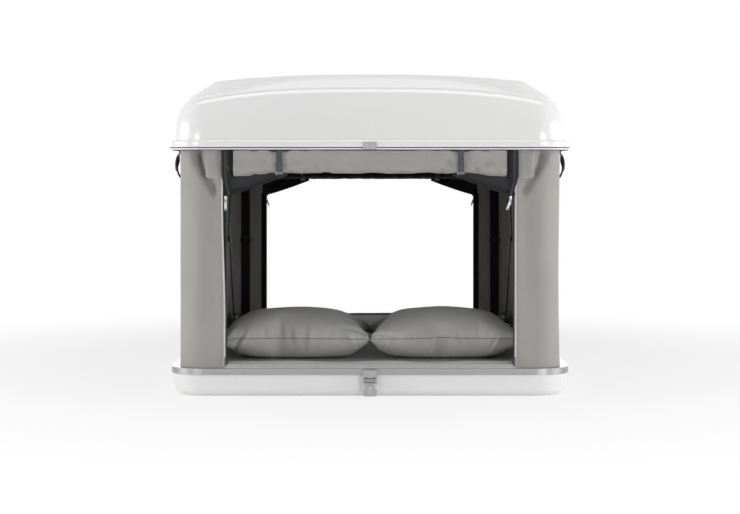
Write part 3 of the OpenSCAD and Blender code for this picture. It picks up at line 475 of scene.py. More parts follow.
M = {name: make(name, *look) for make, name, *look in (
    (gelcoat, "white_gelcoat", (0.83, 0.83, 0.825)),
    (brushed, "rim_aluminium", (0.35, 0.35, 0.355), 0.30, (6, 6, 900)),
    # the rim's aluminium made lighter for the sill rails: painted light over the shade the sill sits in
    (brushed, "sill_aluminium", (0.52, 0.52, 0.525), 0.30, (6, 6, 900)),
    (brushed, "stainless", (0.38, 0.38, 0.385), 0.28, (14, 700, 700)),
    (moulded, "dark_steel", (0.035, 0.035, 0.038), 0.42, 500, 0.0002),
    (brushed, "rail_aluminium", (0.60, 0.60, 0.61), 0.4, (500, 5, 500)),
    (woven, "grey_fabric", (0.375, 0.365, 0.345), 0.0011, 0.00025),
    # inner face of the wall cloth, paler than the outer face: painted light standing in for light that shines
    # through the cloth into the tent
    (woven, "inner_fabric", (0.520, 0.508, 0.475), 0.0011, 0.00025),
    (woven, "dark_lining", (0.030, 0.032, 0.034), 0.0009, 0.0002, 0.8, 0.2),
    (webbing, "black_webbing", (0.012, 0.012, 0.013)),
    (webbing, "slate_webbing", (0.085, 0.095, 0.112)),
    (moulded, "zip_black", (0.085, 0.087, 0.095), 0.34, 900, 0.0001),
    (woven, "zip_tape", (0.011, 0.011, 0.012), 0.0007, 0.0002, 0.7, 0.1),
    (brushed, "zip_metal", (0.58, 0.58, 0.59), 0.25, (400, 400, 40)),
    (moulded, "trim_white", (0.78, 0.78, 0.78), 0.3, 400, 0.0001),
    (woven, "mattress_cover", (0.17, 0.168, 0.16), 0.0013, 0.0004),
    (woven, "pillow_cover", (0.440, 0.435, 0.428), 0.0009, 0.0003, 0.8, 0.3, "Object"),
    (moulded, "seal_rubber", (0.015, 0.015, 0.015), 0.6, 300, 0.0003),
    (plywood, "floor_ply", (0.55, 0.42, 0.27)),
    (moulded, "buckle_plastic", (0.016, 0.016, 0.018), 0.35, 600, 0.00015),
    (moulded, "thread_grey", (0.30, 0.295, 0.285), 0.8, 1500, 0.0002),
    (moulded, "thread_pale", (0.50, 0.495, 0.48), 0.8, 1500, 0.0002),
    # lighter copy of the wall cloth for the hem and sill flaps: painted light where they catch more light
    # than the walls
    (woven, "pale_fabric", (0.500, 0.490, 0.468), 0.0011, 0.00025),
    (moulded, "seam_grey", (0.14, 0.14, 0.14), 0.8, 1500, 0.0002),
    # pale cord: on the pillars' jambs it is the hem's folded edge, and its paleness is a painted highlight;
    # the mattress's piping uses it too
    (woven, "piping", (0.66, 0.655, 0.64), 0.0009, 0.0003),
    (brushed, "gas_rod_chrome", (0.72, 0.72, 0.73), 0.12, (300, 8, 300)),
)}


# CAD nodes that stay: finish, and soft edges on the metal

HARD = ("stainless", "dark_steel", "rim_aluminium", "rail_aluminium", "zip_metal", "buckle_plastic")
SOFT_EDGE, SILL_EDGE = 0.0006, 0.0022

slots = {s["node"]: s["material_slot"] for s in frame["record"]["subparts"]}
for node_name, obj in frame["nodes"].items():
    sill, rod = node_name == "sill_rails", node_name.startswith("gas_rod")
    # the sill rails take the lighter copy of the rim's aluminium, which paints light over their shade
    finish = "sill_aluminium" if sill else "gas_rod_chrome" if rod else slots[node_name]
    obj.data.materials.clear()
    obj.data.materials.append(M[finish])
    if slots[node_name] in HARD:
        soften = obj.modifiers.new("edge", "BEVEL")
        soften.width, soften.segments, soften.limit_method = SILL_EDGE if sill else SOFT_EDGE, 2, "ANGLE"
        soften.angle_limit = math.radians(40)
        soften.harden_normals = True


# Lid: the CAD model's surface on a fine grid

NOSE_L, STEP_L, SHOULDER, NOSE_EDGE, SIDE_EDGE, SHELL_T = 0.300, 0.060, 0.123, 0.060, 0.040, 0.005
FINE_EDGE = 0.155    # the grid keeps its own columns this far in from the sides
LIP = [(0.0006, 0.8112), (0.002, 0.8108), (0.0075, 0.811), (0.0095, 0.8106), (0.0129, 0.8074),
       (0.0138, 0.8055), (0.0140, 0.8040), (0.0140, 0.7908), (0.0137, 0.7896), (0.0128, 0.7886),
       (-0.005, 0.7885)]
BEAD = [(0.0, 0.7852), (0.0003, 0.7856), (0.0065, 0.7857), (0.0070, 0.7884), (0.0190, 0.7884),
        (0.0190, 0.7810), (0.0006, 0.7810), (0.0001, 0.7812), (0.0, 0.7816)]


def nose_height(ax):
    return 0.159 - 0.038 * (ax / (BODY_X - NOSE_EDGE)) ** 3


def crease_height(ax):
    return 0.210 - 0.077 * (ax / (BODY_X - NOSE_EDGE / 2)) ** 3


def plateau_height(ax):
    edge = BODY_X - SHOULDER
    crown = 0.227 - 0.024 * (np.minimum(ax, edge) / edge) ** 2.5
    fall = 0.203 - 0.587 * (ax - edge)
    blend = smooth((ax - edge + 0.022) / 0.044)
    return crown * (1 - blend) + np.where(ax > edge, fall, crown - 0.3 * (ax - edge)) * blend


def body_inset(x, y):
    qx, qy = np.abs(x) - BODY_X + CORNER_R, np.abs(y) - BODY_Y + CORNER_R
    return CORNER_R - np.hypot(np.maximum(qx, 0), np.maximum(qy, 0)) - np.minimum(np.maximum(qx, qy), 0)


def lid_height(x, y, depth):
    """Height of the shell's outer face, or of the face that lies depth inside it."""
    ax, e = np.abs(x), BODY_Y - np.abs(y)
    s = smooth((e - NOSE_L) / STEP_L)
    nose = nose_height(ax) + (crease_height(ax) - nose_height(ax)) * np.minimum(1, e / NOSE_L)
    roof = nose + (plateau_height(ax) - nose) * s
    edge = SIDE_EDGE + (NOSE_EDGE - SIDE_EDGE) * (1 - s)
    t = np.clip((body_inset(x, y) - depth) / edge, 0, 1)
    return LIP_TOP + (roof - depth) * np.sqrt(np.maximum(0, 1 - (1 - t) ** 2))


def lid_face(depth):
    """Grid of the shell at a depth, with its rows and columns close together at edges and creases."""
    hx, hy, r = BODY_X - depth, BODY_Y - depth, CORNER_R - depth
    edge = NOSE_EDGE * (1 - np.cos(np.radians(np.linspace(0, 90, 15))))
    rows = np.concatenate([edge, np.arange(0.072, 0.290, 0.016), np.linspace(0.292, 0.370, 14),
                           np.linspace(0.40, BODY_Y - 0.08, 12)])
    cols = np.concatenate([edge, np.linspace(0.075, FINE_EDGE, 9), np.linspace(0.18, 0.58, 12)])
    ys = np.concatenate([rows - hy, [0], (hy - rows)[::-1]])
    e = hy - np.abs(ys)
    w = np.where(e >= r, hx, hx - r + np.sqrt(np.maximum(0, r * r - (r - np.minimum(e, r)) ** 2)))
    x = []
    for half in w:
        near = np.where(cols <= FINE_EDGE, cols,
                        FINE_EDGE + (cols - FINE_EDGE) * (half - FINE_EDGE) / (hx - FINE_EDGE))
        x.append(np.concatenate([near - half, [0], (half - near)[::-1]]))
    x, y = np.array(x), ys[:, None]
    return xyz(x, y, lid_height(x, y, depth))


def make_lid():
    """Shell with both its faces, joined at the rim by the rolled lip."""
    top, under = lid_face(0), lid_face(SHELL_T)
    rows, cols = top.shape[:2]
    ring = edge_ring(rows, cols)
    rim = top.reshape(-1, 3)[ring]
    cx, cy = BODY_X - CORNER_R, BODY_Y - CORNER_R
    out = unit(rim[:, :2] - np.column_stack([np.clip(rim[:, 0], -cx, cx), np.clip(rim[:, 1], -cy, cy)]))
    verts, faces = [top.reshape(-1, 3)], grid_faces(rows, cols)
    last, start = ring, rows * cols
    for reach, z in LIP:
        verts.append(xyz(*(rim[:, :2] + reach * out).T, z))
        ids = list(range(start, start + len(ring)))
        faces += ring_faces(last, ids)
        last, start = ids, start + len(ring)
    faces += grid_faces(rows, cols, start=start, flip=True) + ring_faces(last, [start + k for k in ring])
    verts = np.concatenate(verts + [under.reshape(-1, 3)])
    return build("lid_moulding", verts, faces, [M["white_gelcoat"]], uvs=verts[:, :2], sharp=32)


def make_bead():
    """Trim bead under the lip, set off by a shadow groove; the groove's faces are black seal rubber, a
    painted shade.
    """
    rings = profile_rings(BEAD, 0.650, 1.050, 0.124)
    # groove faces in black seal rubber: a dark strip that paints the groove's shade
    groove = [0, 0, 1, 1, 0, 0, 0, 0, 0]
    return loft_rings("lid_bead", rings, [M["trim_white"], M["seal_rubber"]], mats=groove, close=True)


def make_liner():
    """Dark ceiling cloth under the shell, with a slack sag between its glue lines."""
    x, y = np.meshgrid(np.linspace(-0.568, 0.568, 72), np.linspace(-0.968, 0.968, 110))
    x = x * (1 - 0.045 * smooth((np.abs(y) - 0.86) / 0.11))
    z = lid_height(x, y, SHELL_T) - 0.0010
    sag = 0.0035 * np.abs(np.sin(np.pi * (y + 0.968) / 0.242)) * (1 - (x / 0.57) ** 4)
    grid = xyz(x, y, z - sag - 0.0006 * (1 + ripple(x * 14, y * 14, seed=3)))
    cloth = thick_sheet("ceiling_liner", grid, 0.0018, "dark_lining")
    dress(cloth, on_lid, "lid_liner")


def make_base():
    draft, edge_r, inner_r, floor, top = 0.006, 0.028, 0.023, 0.019, 0.087
    profile = [(0.079, 0.014), (0.0775, 0.0128), (0.0665, 0.0012), (0.065, 0.0)]
    profile += [(draft + edge_r - edge_r * math.sin(a), edge_r * (1 - math.cos(a)))
                for a in np.radians(np.linspace(0, 90, 12))]
    profile += [(draft * (1 - t), edge_r + (top - edge_r) * t) for t in (0.06, 0.5, 0.97)]
    profile += [(0.0, top), (SHELL_T, top)]
    profile += [(SHELL_T + draft + inner_r * (1 - math.cos(a)), floor + inner_r * (1 - math.sin(a)))
                for a in np.radians(np.linspace(0, 90, 8))]
    rings = profile_rings(profile, 0.635, 1.035, 0.108)
    return loft_rings("base_tray", rings, [M["white_gelcoat"]], caps=True, sharp=30)


dress(make_lid(), on_lid, "lid_shell")
dress(make_bead(), on_lid, "lid_trim")
make_liner()
dress(make_base(), on_base, "base_shell")


# Sewing

TOOTH = {"pitch": 0.0036, "length": 0.0024, "width": 0.0034, "height": 0.0013}


def stitch_row(points, normals, pitch=0.0075, length=0.0045, width=0.0011, height=0.0007):
    """Little raised threads along a line on cloth; returns vertices and faces."""
    points, normals = np.asarray(points, float), np.asarray(normals, float)
    run = run_of(points)
    verts, faces = [], []
    for at in np.arange(pitch / 2, run[-1] - pitch / 2, pitch):
        a, b = [np.array([np.interp(at + d, run, points[:, k]) for k in range(3)])
                for d in (-length / 2, length / 2)]
        up = np.array([np.interp(at, run, normals[:, k]) for k in range(3)])
        up /= np.linalg.norm(up)
        along = (b - a) / np.linalg.norm(b - a)
        side = np.cross(along, up) * width / 2
        i = len(verts)
        mid = (a + b) / 2 + up * height
        verts += [a - side, a + side, b + side, b - side]
        verts += [mid + s * side * 0.8 + e * along * length * 0.28 for s, e in SQUARE]
        faces += [[i + 4, i + 5, i + 6, i + 7], [i, i + 1, i + 5, i + 4], [i + 1, i + 2, i + 6, i + 5],
                  [i + 2, i + 3, i + 7, i + 6], [i + 3, i, i + 4, i + 7], [i, i + 3, i + 2, i + 1]]
    return verts, faces


def sewn(name, rows, finish, **size):
    """One piece of all the threads, or zip teeth, along rows of points with their normals."""
    verts, faces = [], []
    for points, normals in rows:
        v, f = stitch_row(points, normals, **size)
        faces += [[i + len(verts) for i in q] for q in f]
        verts += v
    return build(name, verts, faces, [M[finish]])


# Fabric walls, drawn at the left front and turned to the other corners

# walls: outer face in the wall cloth, inner face in its paler copy, whose paleness is painted light
CLOTH = "grey_fabric inner_fabric"
LEAN = 0.0075    # the front left edge is drawn aside toward the lid
PIPING_TOP = 0.690


def wall_path():
    """Columns of a pillar from its jamb round the corner: points with normals, CAD fold phase and run."""
    cx, cy = WALL_X - WALL_R, WALL_Y - WALL_R
    pts, phase = [], []
    for t in np.linspace(0, 1, 17)[:-1]:
        pts.append((-JAMB_X - (cx - JAMB_X) * t, -WALL_Y, 0, -1))
        phase.append(0.25 * t)
    for t in np.linspace(0, 1, 21):
        a = math.radians(270 - 90 * t)
        pts.append((-cx + WALL_R * math.cos(a), -cy + WALL_R * math.sin(a), math.cos(a), math.sin(a)))
        phase.append(0.25 + 0.375 * t)
    for t in np.linspace(0, 1, 31)[1:]:
        pts.append((-WALL_X, -cy + (cy - PILLAR_END) * t, -1, 0))
        phase.append(0.625 + 0.375 * t)
    pts = np.array(pts)
    return pts, np.array(phase), run_of(pts[:, :2])


def jamb_lean(z):
    return smooth((z - 0.25) / 0.35)


def pull_folds(u, z, depth):
    """Folds drawn from the roll's end down to the jamb, and a neck beside the hem."""
    a, b = np.array([0.108, 0.790]), np.array([0.012, 0.622])
    d = (b - a) / np.linalg.norm(b - a)
    along = (u - a[0]) * d[0] + (z - a[1]) * d[1]
    off = (u - a[0]) * d[1] - (z - a[1]) * d[0]
    reach = smooth(along / 0.03) * smooth((np.linalg.norm(b - a) - along) / 0.05)
    neck = smooth((z - 0.700) / 0.07) * bell(u, 0.085, 0.022)
    return depth * reach * (bell(off, 0.0, 0.012) + 0.35 * bell(off, 0.026, 0.013)), 0.8 * depth * neck


def wall_grid(pts, phase, run, folds, seed, diagonal=0.0, lean=0.0, rows=84):
    """Outer face of a wall: the CAD model's folds, with slack, creases and a flat hem at the jamb."""
    t = np.linspace(0, 1, rows)[:, None]
    s = phase[None, :]
    u = run[None, :]
    z = WALL_BOTTOM + (WALL_TOP - WALL_BOTTOM) * t
    hold = np.sin(np.pi * t)
    inward = 0.005 * hold * (0.5 - 0.5 * np.cos(2 * np.pi * (folds * s + 0.4 * t)))
    inward = inward + 0.0007 * (1 + ripple(u * 22, z * 5, seed=seed)) * np.minimum(1, 4 * hold)
    creases = np.maximum(0, ripple(u * 60, z * 17, seed=seed + 1, low=0.6, high=1.6)) ** 2
    inward = inward + 0.0011 * creases * (0.35 + 0.65 * (bell(t, 0.98, 0.16) + bell(t, 0.03, 0.1)))
    for fold in pull_folds(u, z, diagonal):
        inward = inward + fold
    hem = smooth((0.016 - u) / 0.002)
    inward = inward * (1 - 0.75 * smooth((0.03 - u) / 0.03)) - 0.0006 * hem
    x = pts[:, 0] - inward * pts[:, 2] - lean * jamb_lean(z) * smooth((0.09 - u) / 0.09)
    return xyz(x, pts[:, 1] - inward * pts[:, 3], z)


def make_wall(name, p, pts, run, right, rear, flip, sewn_at):
    """Cloth of a wall and the rows of stitches at some of its columns."""
    n = np.zeros(p.shape)
    n[..., 0], n[..., 1] = pts[:, 2], pts[:, 3]
    n = turned(n, right, rear)
    p = turned(p, right, rear)
    uv = np.stack(np.meshgrid(run, p[:, 0, 2]), axis=2)
    cloth = thick_sheet(name + "_cloth", p, WALL_T, CLOTH, uv, n * (-1 if flip else 1), flip)
    thread = sewn(name + "_stitch", [(p[:, k], n[:, k]) for k in sewn_at], "thread_grey")
    return dress(cloth, fold_down, name), dress(thread, fold_down)


def make_pillar(right, rear, folds, seed, diagonal, lean=0.0):
    name = f"pillar_{'rear' if rear else 'front'}_{'right' if right else 'left'}"
    pts, phase, run = wall_path()
    p = wall_grid(pts, phase, run, folds, seed, diagonal, lean)
    columns = [int(np.searchsorted(run, at)) for at in (0.005, 0.014, run[-1] - 0.006)]
    cloth, thread = make_wall(name, p, pts, run, right, rear, right == rear, columns)
    z = np.linspace(WALL_BOTTOM + 0.004, PIPING_TOP, 60)
    edge = xyz(-JAMB_X + 0.0008 - lean * jamb_lean(z), -WALL_Y - 0.0004, z)
    # jamb cord: the hem's real folded edge, coloured pale as a painted highlight along it
    piping = dress(tube(name + "_piping", turned(edge, right, rear), 0.0026, "piping"), fold_down)


def make_side_wall(right, seed):
    """Wall between two pillars."""
    name = f"side_wall_{'right' if right else 'left'}"
    half, count = PILLAR_END - SEAT_GAP, 120
    ys = np.linspace(-half, half, count)
    pts = np.column_stack([np.full(count, -WALL_X), ys, np.full(count, -1.0), np.zeros(count)])
    run = ys + half
    p = wall_grid(pts, run / run[-1], run + 0.05, 3, seed)
    cloth, thread = make_wall(name, p, pts, run, right, False, right, (1, count - 2))


make_pillar(False, False, 3, 11, 0.027, LEAN)
make_pillar(True, False, 2.5, 12, 0.019)
make_pillar(False, True, 2.5, 13, 0.003)
make_pillar(True, True, 3, 14, 0.004)
make_side_wall(False, 21)
make_side_wall(True, 22)


# Rolled doors: each is one sheet wound in a loose spiral under the lid

LEAD_ROWS, TURN_ROWS = 5, 34    # rows of a roll's grid before it starts to turn, and in each turn
FRONT_SEED, REAR_SEED = 31, 41
SLIDE_ANGLE = -0.27 * math.pi


def roll_size(rear):
    """Radius of a door's roll, and the seed of its wrinkles."""
    return (REAR_ROLL, REAR_SEED) if rear else (FRONT_ROLL, FRONT_SEED)


def roll_low(rear):
    return LID_Z - 2 * roll_size(rear)[0]


def roll_shape(r, x, angle, seed, crumple=1.0):
    """Outer radius of a roll at a station and angle: flat-sided, drawn in and creased by its straps."""
    near = bell(np.abs(x), STRAP_X, 0.030)
    beside = bell(np.abs(x), STRAP_X, 0.100)
    square, fill = (14.0, 0.97) if math.sin(angle) > 0 else (3.6, 0.85)
    loose = (1 - near) * crumple * (1 - 0.8 * bell(angle, 2.25, 0.35))
    flat = 1 / (abs(math.cos(angle)) ** square + abs(math.sin(angle)) ** square) ** (1 / square)
    slack = 0.0016 * (1 + ripple(x * 15, angle * 1.1, seed=seed, low=0.7, high=2.0))
    drape = np.maximum(0, ripple(x * 40, angle * 1.5, seed=seed + 5, count=3, low=0.7, high=1.4))
    slack = slack + 0.0075 * drape * (0.5 + 0.5 * beside)
    crease = np.maximum(0, ripple(x * 78, angle * 2.6, seed=seed + 3, low=0.6, high=1.5) - 0.1)
    dents = 0.017 * crease * (0.4 + 0.6 * beside)
    fine = 0.0005 * ripple(x * 95, angle * 3.0, seed=seed + 1)
    droop = 0.0095 * smooth((np.abs(x) - 0.295) / 0.13) * max(0, -math.sin(angle)) * crumple
    tack = sum(bell(np.abs(x), STRAP_X + d, 0.006) for d in (-0.014, 0.014))
    tack = tack * (bell(angle, 2.47, 0.16) + bell(angle, 3.34, 0.16))
    rays = ripple(np.abs(x - np.sign(x) * STRAP_X) * 46, angle * 5.0, seed=seed + 2)
    rays = 0.0075 * (beside - near) * rays
    return (r * (1 + (flat - 1) * fill) - 0.0042 * near - loose * (slack + dents)
            + droop - 0.0055 * crumple * tack + fine * (1 - near) + np.minimum(rays, 0.0008))


def spiral(r, turns, pitch, x, seed, rear):
    """Grid of the wound sheet: rows along its length from the lid frame in to the core, columns along X."""
    out = 1 if rear else -1
    rows = [xyz(x, out * ROLL_Y, z) for z in np.linspace(WALL_TOP, LID_Z - 0.004, LEAD_ROWS + 1)[:-1]]
    for phi in np.linspace(0, 2 * math.pi * turns, int(TURN_ROWS * turns)):
        angle = math.pi / 2 + phi
        q = roll_shape(r, x, angle, seed, 0.35 if rear else 1.0) - pitch * phi / (2 * math.pi) - 0.0012
        rows.append(xyz(x, out * (ROLL_Y - q * math.cos(angle)), LID_Z - r + q * math.sin(angle)))
    return np.array(rows)


def make_roll(rear, end):
    """A rolled door, and the half of its zip that is wound up with it at each end."""
    r, seed = roll_size(rear)
    turns, pitch = (3.05, 0.0105) if rear else (4.05, 0.0072)
    by_strap = np.linspace(-0.032, 0.032, 18)
    x = np.sort(np.concatenate([np.linspace(-ROLL_HALF, ROLL_HALF, 150),
                                STRAP_X + by_strap, -STRAP_X + by_strap]))
    p = spiral(r, turns, pitch, x, seed, rear)
    finish = "dark_lining grey_fabric" if rear else CLOTH
    roll = thick_sheet(f"{end}_door_sheet", p, 0.0013, finish, flip=not rear)
    dress(roll, fold_up, f"{end}_door_roll")
    for sx, side in SIDES:
        xs = np.linspace(ROLL_HALF + 0.0010, JAMB_X - 0.0005, 7) * sx
        q = spiral(r - 0.0022, turns, pitch, np.sort(xs), seed, rear)
        band = thick_sheet(f"{end}_zip_roll_{side}", q, 0.0016, "zip_tape", flip=not rear)
        dress(band, fold_up, "zip_tapes")
        mid = np.array([float(np.median(xs))])
        line = spiral(r + 0.0002, 1.0, 0.0, mid, seed, rear)[LEAD_ROWS + 1:LEAD_ROWS + 1 + TURN_ROWS, 0]
        out = unit(xyz(0.0, line[:, 1] - (1 if rear else -1) * ROLL_Y, line[:, 2] - (LID_Z - r)))
        rows = [(line + np.array([dx, 0, 0]), out) for dx in (-0.0018, 0.0018)]
        dress(sewn(f"{end}_roll_teeth_{side}", rows, "zip_black", **TOOTH), fold_up)


def strap_grid(path, width, at):
    """Flat webbing at a station in X, along a path of (y, z) pairs; columns run across it."""
    return xyz(at + np.linspace(-width / 2, width / 2, 5), path[:, :1], path[:, 1:])


def make_roll_straps(rear, end):
    """Strap round each roll; at the front also its free tail and the slide that holds it."""
    r, seed = roll_size(rear)
    out_y, axis = (1 if rear else -1), LID_Z - r
    angles = np.linspace(0.5 * math.pi - 0.06, -1.5 * math.pi + 0.06, 72)
    for sx, side in SIDES:
        name, at = f"{end}_strap_{side}", sx * STRAP_X
        q = np.array([float(roll_shape(r, np.array([at]), a, seed)[0]) for a in angles]) + 0.0016
        ring = np.column_stack([out_y * (ROLL_Y + q * np.cos(angles)), axis + q * np.sin(angles)])
        top = np.column_stack([np.full(5, ring[0][0]), np.linspace(WALL_TOP, ring[0][1], 6)[:-1]])
        tail = np.column_stack([np.full(5, ring[-1][0]), np.linspace(ring[-1][1], WALL_TOP, 6)[1:]])
        grid = strap_grid(np.concatenate([top, ring, tail]), STRAP_W, at)
        band = thick_sheet(name, grid, 0.0015, "slate_webbing", flip=rear)
        dress(band, fold_up, f"{end}_roll_straps")
        front = ring[np.abs(angles) < 0.75]
        out = xyz(0.0, front[:, 0] - out_y * ROLL_Y, front[:, 1] - axis)
        lines = [(xyz(at + dx, *front.T) + unit(out) * 0.0003, out) for dx in (-0.0062, 0.0062)]
        dress(sewn(name + "_stitch", lines, "thread_grey"), fold_up)
        if not rear:
            make_strap_end(name, at, angles[14:29], q[14:29] + 0.0026, r)
            make_slide(name, at, ring, angles)


def make_strap_end(name, at, angles, q, r):
    """Free end of a front strap, which falls a little away from its roll."""
    width = STRAP_W * 0.94
    free = q + 0.002 * smooth(np.linspace(-0.2, 1, len(q)))
    low = np.column_stack([-(ROLL_Y + q * np.cos(angles)), LID_Z - r + free * np.sin(angles)])
    tail = thick_sheet(name + "_tail", strap_grid(low, width, at + 0.002), 0.0014, "slate_webbing")
    dress(tail, fold_up)


def make_slide(name, at, ring, angles):
    """Wire slide, a rounded oblong that lies on the strap."""
    turn = np.linspace(0, 2 * math.pi, 33)
    wide, deep = [np.sign(f(turn)) * np.abs(f(turn)) ** 0.5 for f in (np.cos, np.sin)]
    k = int(np.argmin(np.abs(angles - SLIDE_ANGLE)))
    along = (ring[k + 1] - ring[k - 1]) / np.linalg.norm(ring[k + 1] - ring[k - 1])
    out = np.array([-math.cos(angles[k]), math.sin(angles[k])])
    loop = ring[k] + 0.0036 * out + 0.0045 * deep[:, None] * along
    slide = tube(name + "_slide", xyz(at + 0.0116 * wide, *loop.T), 0.0011, "zip_metal")
    dress(slide, fold_up)


for rear, end in ENDS:
    make_roll(rear, end)
for rear, end in ENDS:
    make_roll_straps(rear, end)


# Door hems, gussets and zips at the doorway's top corners, drawn at the right front

HEM_IN, HEM_OUT, HEM_W, HEM_LOW, HEM_Y = 0.472, 0.520, 0.048, 0.6915, 1.0128
GUSSET_Y, PANEL_ZIP_Y = 1.0098, 1.0122
PULL_Y, PULL_HANG = -1.0172, -0.35    # the plane of a pull, and how far one that hangs askew is turned


def end_sheet(name, x, z, y, t, finish, rear, sx, seed=0, wrinkle=0.0):
    """Panel in an end wall's plane, drawn on the right front side; y is its outer face."""
    wave = wrinkle * (1 + ripple(x * 30, z * 22, seed=seed))
    return thick_sheet(name, turned(xyz(x, -(y - wave), z), sx < 0, rear), t, finish, flip=(sx < 0) != rear)


def end_row(x, y, z, rear, sx):
    """A row of points drawn on the right front side, moved to its corner, and its normals, which face out."""
    line = turned(xyz(x, y, z), sx < 0, rear)
    return line, np.tile([0, 1 if rear else -1, 0], (len(line), 1))


def hem_stand(x, z):
    """How far a hem stands off the wall behind it."""
    return 0.0085 * smooth((x - 0.486) / 0.03) * smooth((WALL_TOP - z) / 0.03)


def make_hems():
    """Flap that hangs over each end of the rolls, in a lighter copy of the wall cloth: painted light."""
    for rear, end, sx, side in CORNERS:
        name = f"{end}_hem_{side}"
        x, z = np.meshgrid(np.linspace(HEM_IN, HEM_OUT, 14), np.linspace(HEM_LOW, WALL_TOP, 26))
        z = z - 0.003 * smooth((0.72 - z) / 0.03) * np.sin((x - HEM_IN) / HEM_W * math.pi * 1.3)
        hem = end_sheet(name, x, z, HEM_Y + hem_stand(x, z), 0.0016, "pale_fabric inner_fabric", rear, sx,
                        50 + 2 * rear + (sx > 0), 0.0005)
        dress(hem, fold_up, f"{end}_door_hems")
        zs, xs, low = np.linspace(0.696, WALL_TOP - 0.002, 24), np.linspace(0.476, 0.516, 12), 0.6960
        rows = [end_row(at, -1.0129 - hem_stand(at, zs), zs, rear, sx) for at in (0.477, 0.4815, 0.515)]
        rows.append(end_row(xs, -1.0129 - hem_stand(xs, low), low, rear, sx))
        thread = dress(sewn(name + "_stitch", rows, "thread_pale"), fold_up)


def panel_edge(rear, count=40):
    """Lower edge of the right corner panel, from the jamb in along the roll."""
    t = np.linspace(0, 1, count)
    return np.column_stack([JAMB_X - SEAT_GAP - GUSSET_REACH * t,
                            roll_low(rear) - SEAT_GAP - GUSSET_DROP * (1 - t ** 1.2)])


def make_gussets():
    """Dark cloth drawn up from each jamb to the roll, with slack that runs toward the jamb."""
    for rear, end, sx, side in CORNERS:
        low_x, low_z = panel_edge(rear).T[:, None, :]
        top = roll_low(rear) + (0.012 if rear else 0.008)
        t = np.linspace(0, 1, 16)[:, None]
        x = low_x + 0.004 * rear * smooth((low_x - 0.45) / 0.012) + 0 * t
        z = low_z * (1 - t) + np.maximum(top, low_z + 0.004) * t
        seed = 60 + 2 * rear + (sx > 0)
        fan = np.arctan2(z - 0.60, 0.50 - x)
        drawn = 0.0011 * (1 + np.sin(fan * 17 + seed)) * smooth((0.46 - x) / 0.05)
        cloth = end_sheet(f"{end}_gusset_{side}", x[:, ::-1], z[:, ::-1], GUSSET_Y - drawn[:, ::-1], 0.0022,
                          "dark_lining", rear, sx, seed, 0.0004)
        dress(cloth, fold_up, f"{end}_gussets")


def make_panel_zips():
    """Zip tape bound along each corner panel's lower edge."""
    for rear, end, sx, side in CORNERS:
        name = f"{end}_zip_{side}"
        edge = panel_edge(rear)[:-6]
        up = np.minimum(ZIP_W, roll_low(rear) - SEAT_GAP - edge[:, 1])
        t = np.linspace(0, 1, 5)[:, None]
        z = edge[:, 1] + up * t
        tape = end_sheet(name, edge[::-1, 0] + 0 * t, z[:, ::-1], PANEL_ZIP_Y, 0.0013, "zip_tape", rear, sx)
        dress(tape, fold_up, "zip_tapes")
        rows = [end_row(edge[:-4, 0], -1.0123, edge[:-4, 1] + off, rear, sx) for off in (0.0030, 0.0062)]
        teeth = dress(sewn(name + "_teeth", rows, "zip_tape", **TOOTH), fold_up)


def swing(obj, x, z, angle):
    """Turns a drawn piece about the Y line through (x, z)."""
    for v in obj.data.vertices:
        dx, dz = v.co.x - x, v.co.z - z
        v.co.x = x + dx * math.cos(angle) - dz * math.sin(angle)
        v.co.z = z + dx * math.sin(angle) + dz * math.cos(angle)


def hoop(name, x, z, wide, high, wire, gap=0.0):
    """Wire bent round in a pull's plane, open at the top by a gap in radians to each side."""
    angles = np.linspace(gap, 2 * math.pi - gap, 20)
    path = [(x + wide * math.sin(a), PULL_Y, z + high * math.cos(a)) for a in angles]
    return tube(name, path, wire, "zip_metal")


def plate(name, x, half, y0, y1, z0, z1, bevel):
    return box(name, (x - half, y0, z0), (x + half, y1, z1), "zip_metal", bevel)


def make_pulls():
    """Zip slider, bail and hanging tab at the foot of each corner panel."""
    for rear, end, sx, side in CORNERS:
        z = roll_low(rear) - SEAT_GAP - GUSSET_DROP - 0.012
        aside = rear or sx > 0
        x = 0.4455 if aside else 0.4572
        body = [plate("slider", x, 0.0034, -1.0148, -1.0126, z, z + 0.012, 0.0006),
                plate("bridge", x, 0.0014, -1.0166, -1.0146, z + 0.002, z + 0.010, 0.0005)]
        tab = [hoop("bail", x, z + 0.001, 0.0026, 0.0040, 0.0007, 0.4),
               plate("tab", x, 0.0038, -1.0179, -1.0165, z - 0.0285, z - 0.0065, 0.0005)]
        tab += [hoop("eye", x, z - low, 0.0033, 0.0027, 0.0009) for low in (0.0045, 0.0308)]
        for bit in tab if aside else ():
            swing(bit, x, z, PULL_HANG)
        pull = moved(merge("pull", body + tab), f"zip_pull_{end}_{side}", sx < 0, rear)
        dress(pull, fold_up, "zip_pulls")


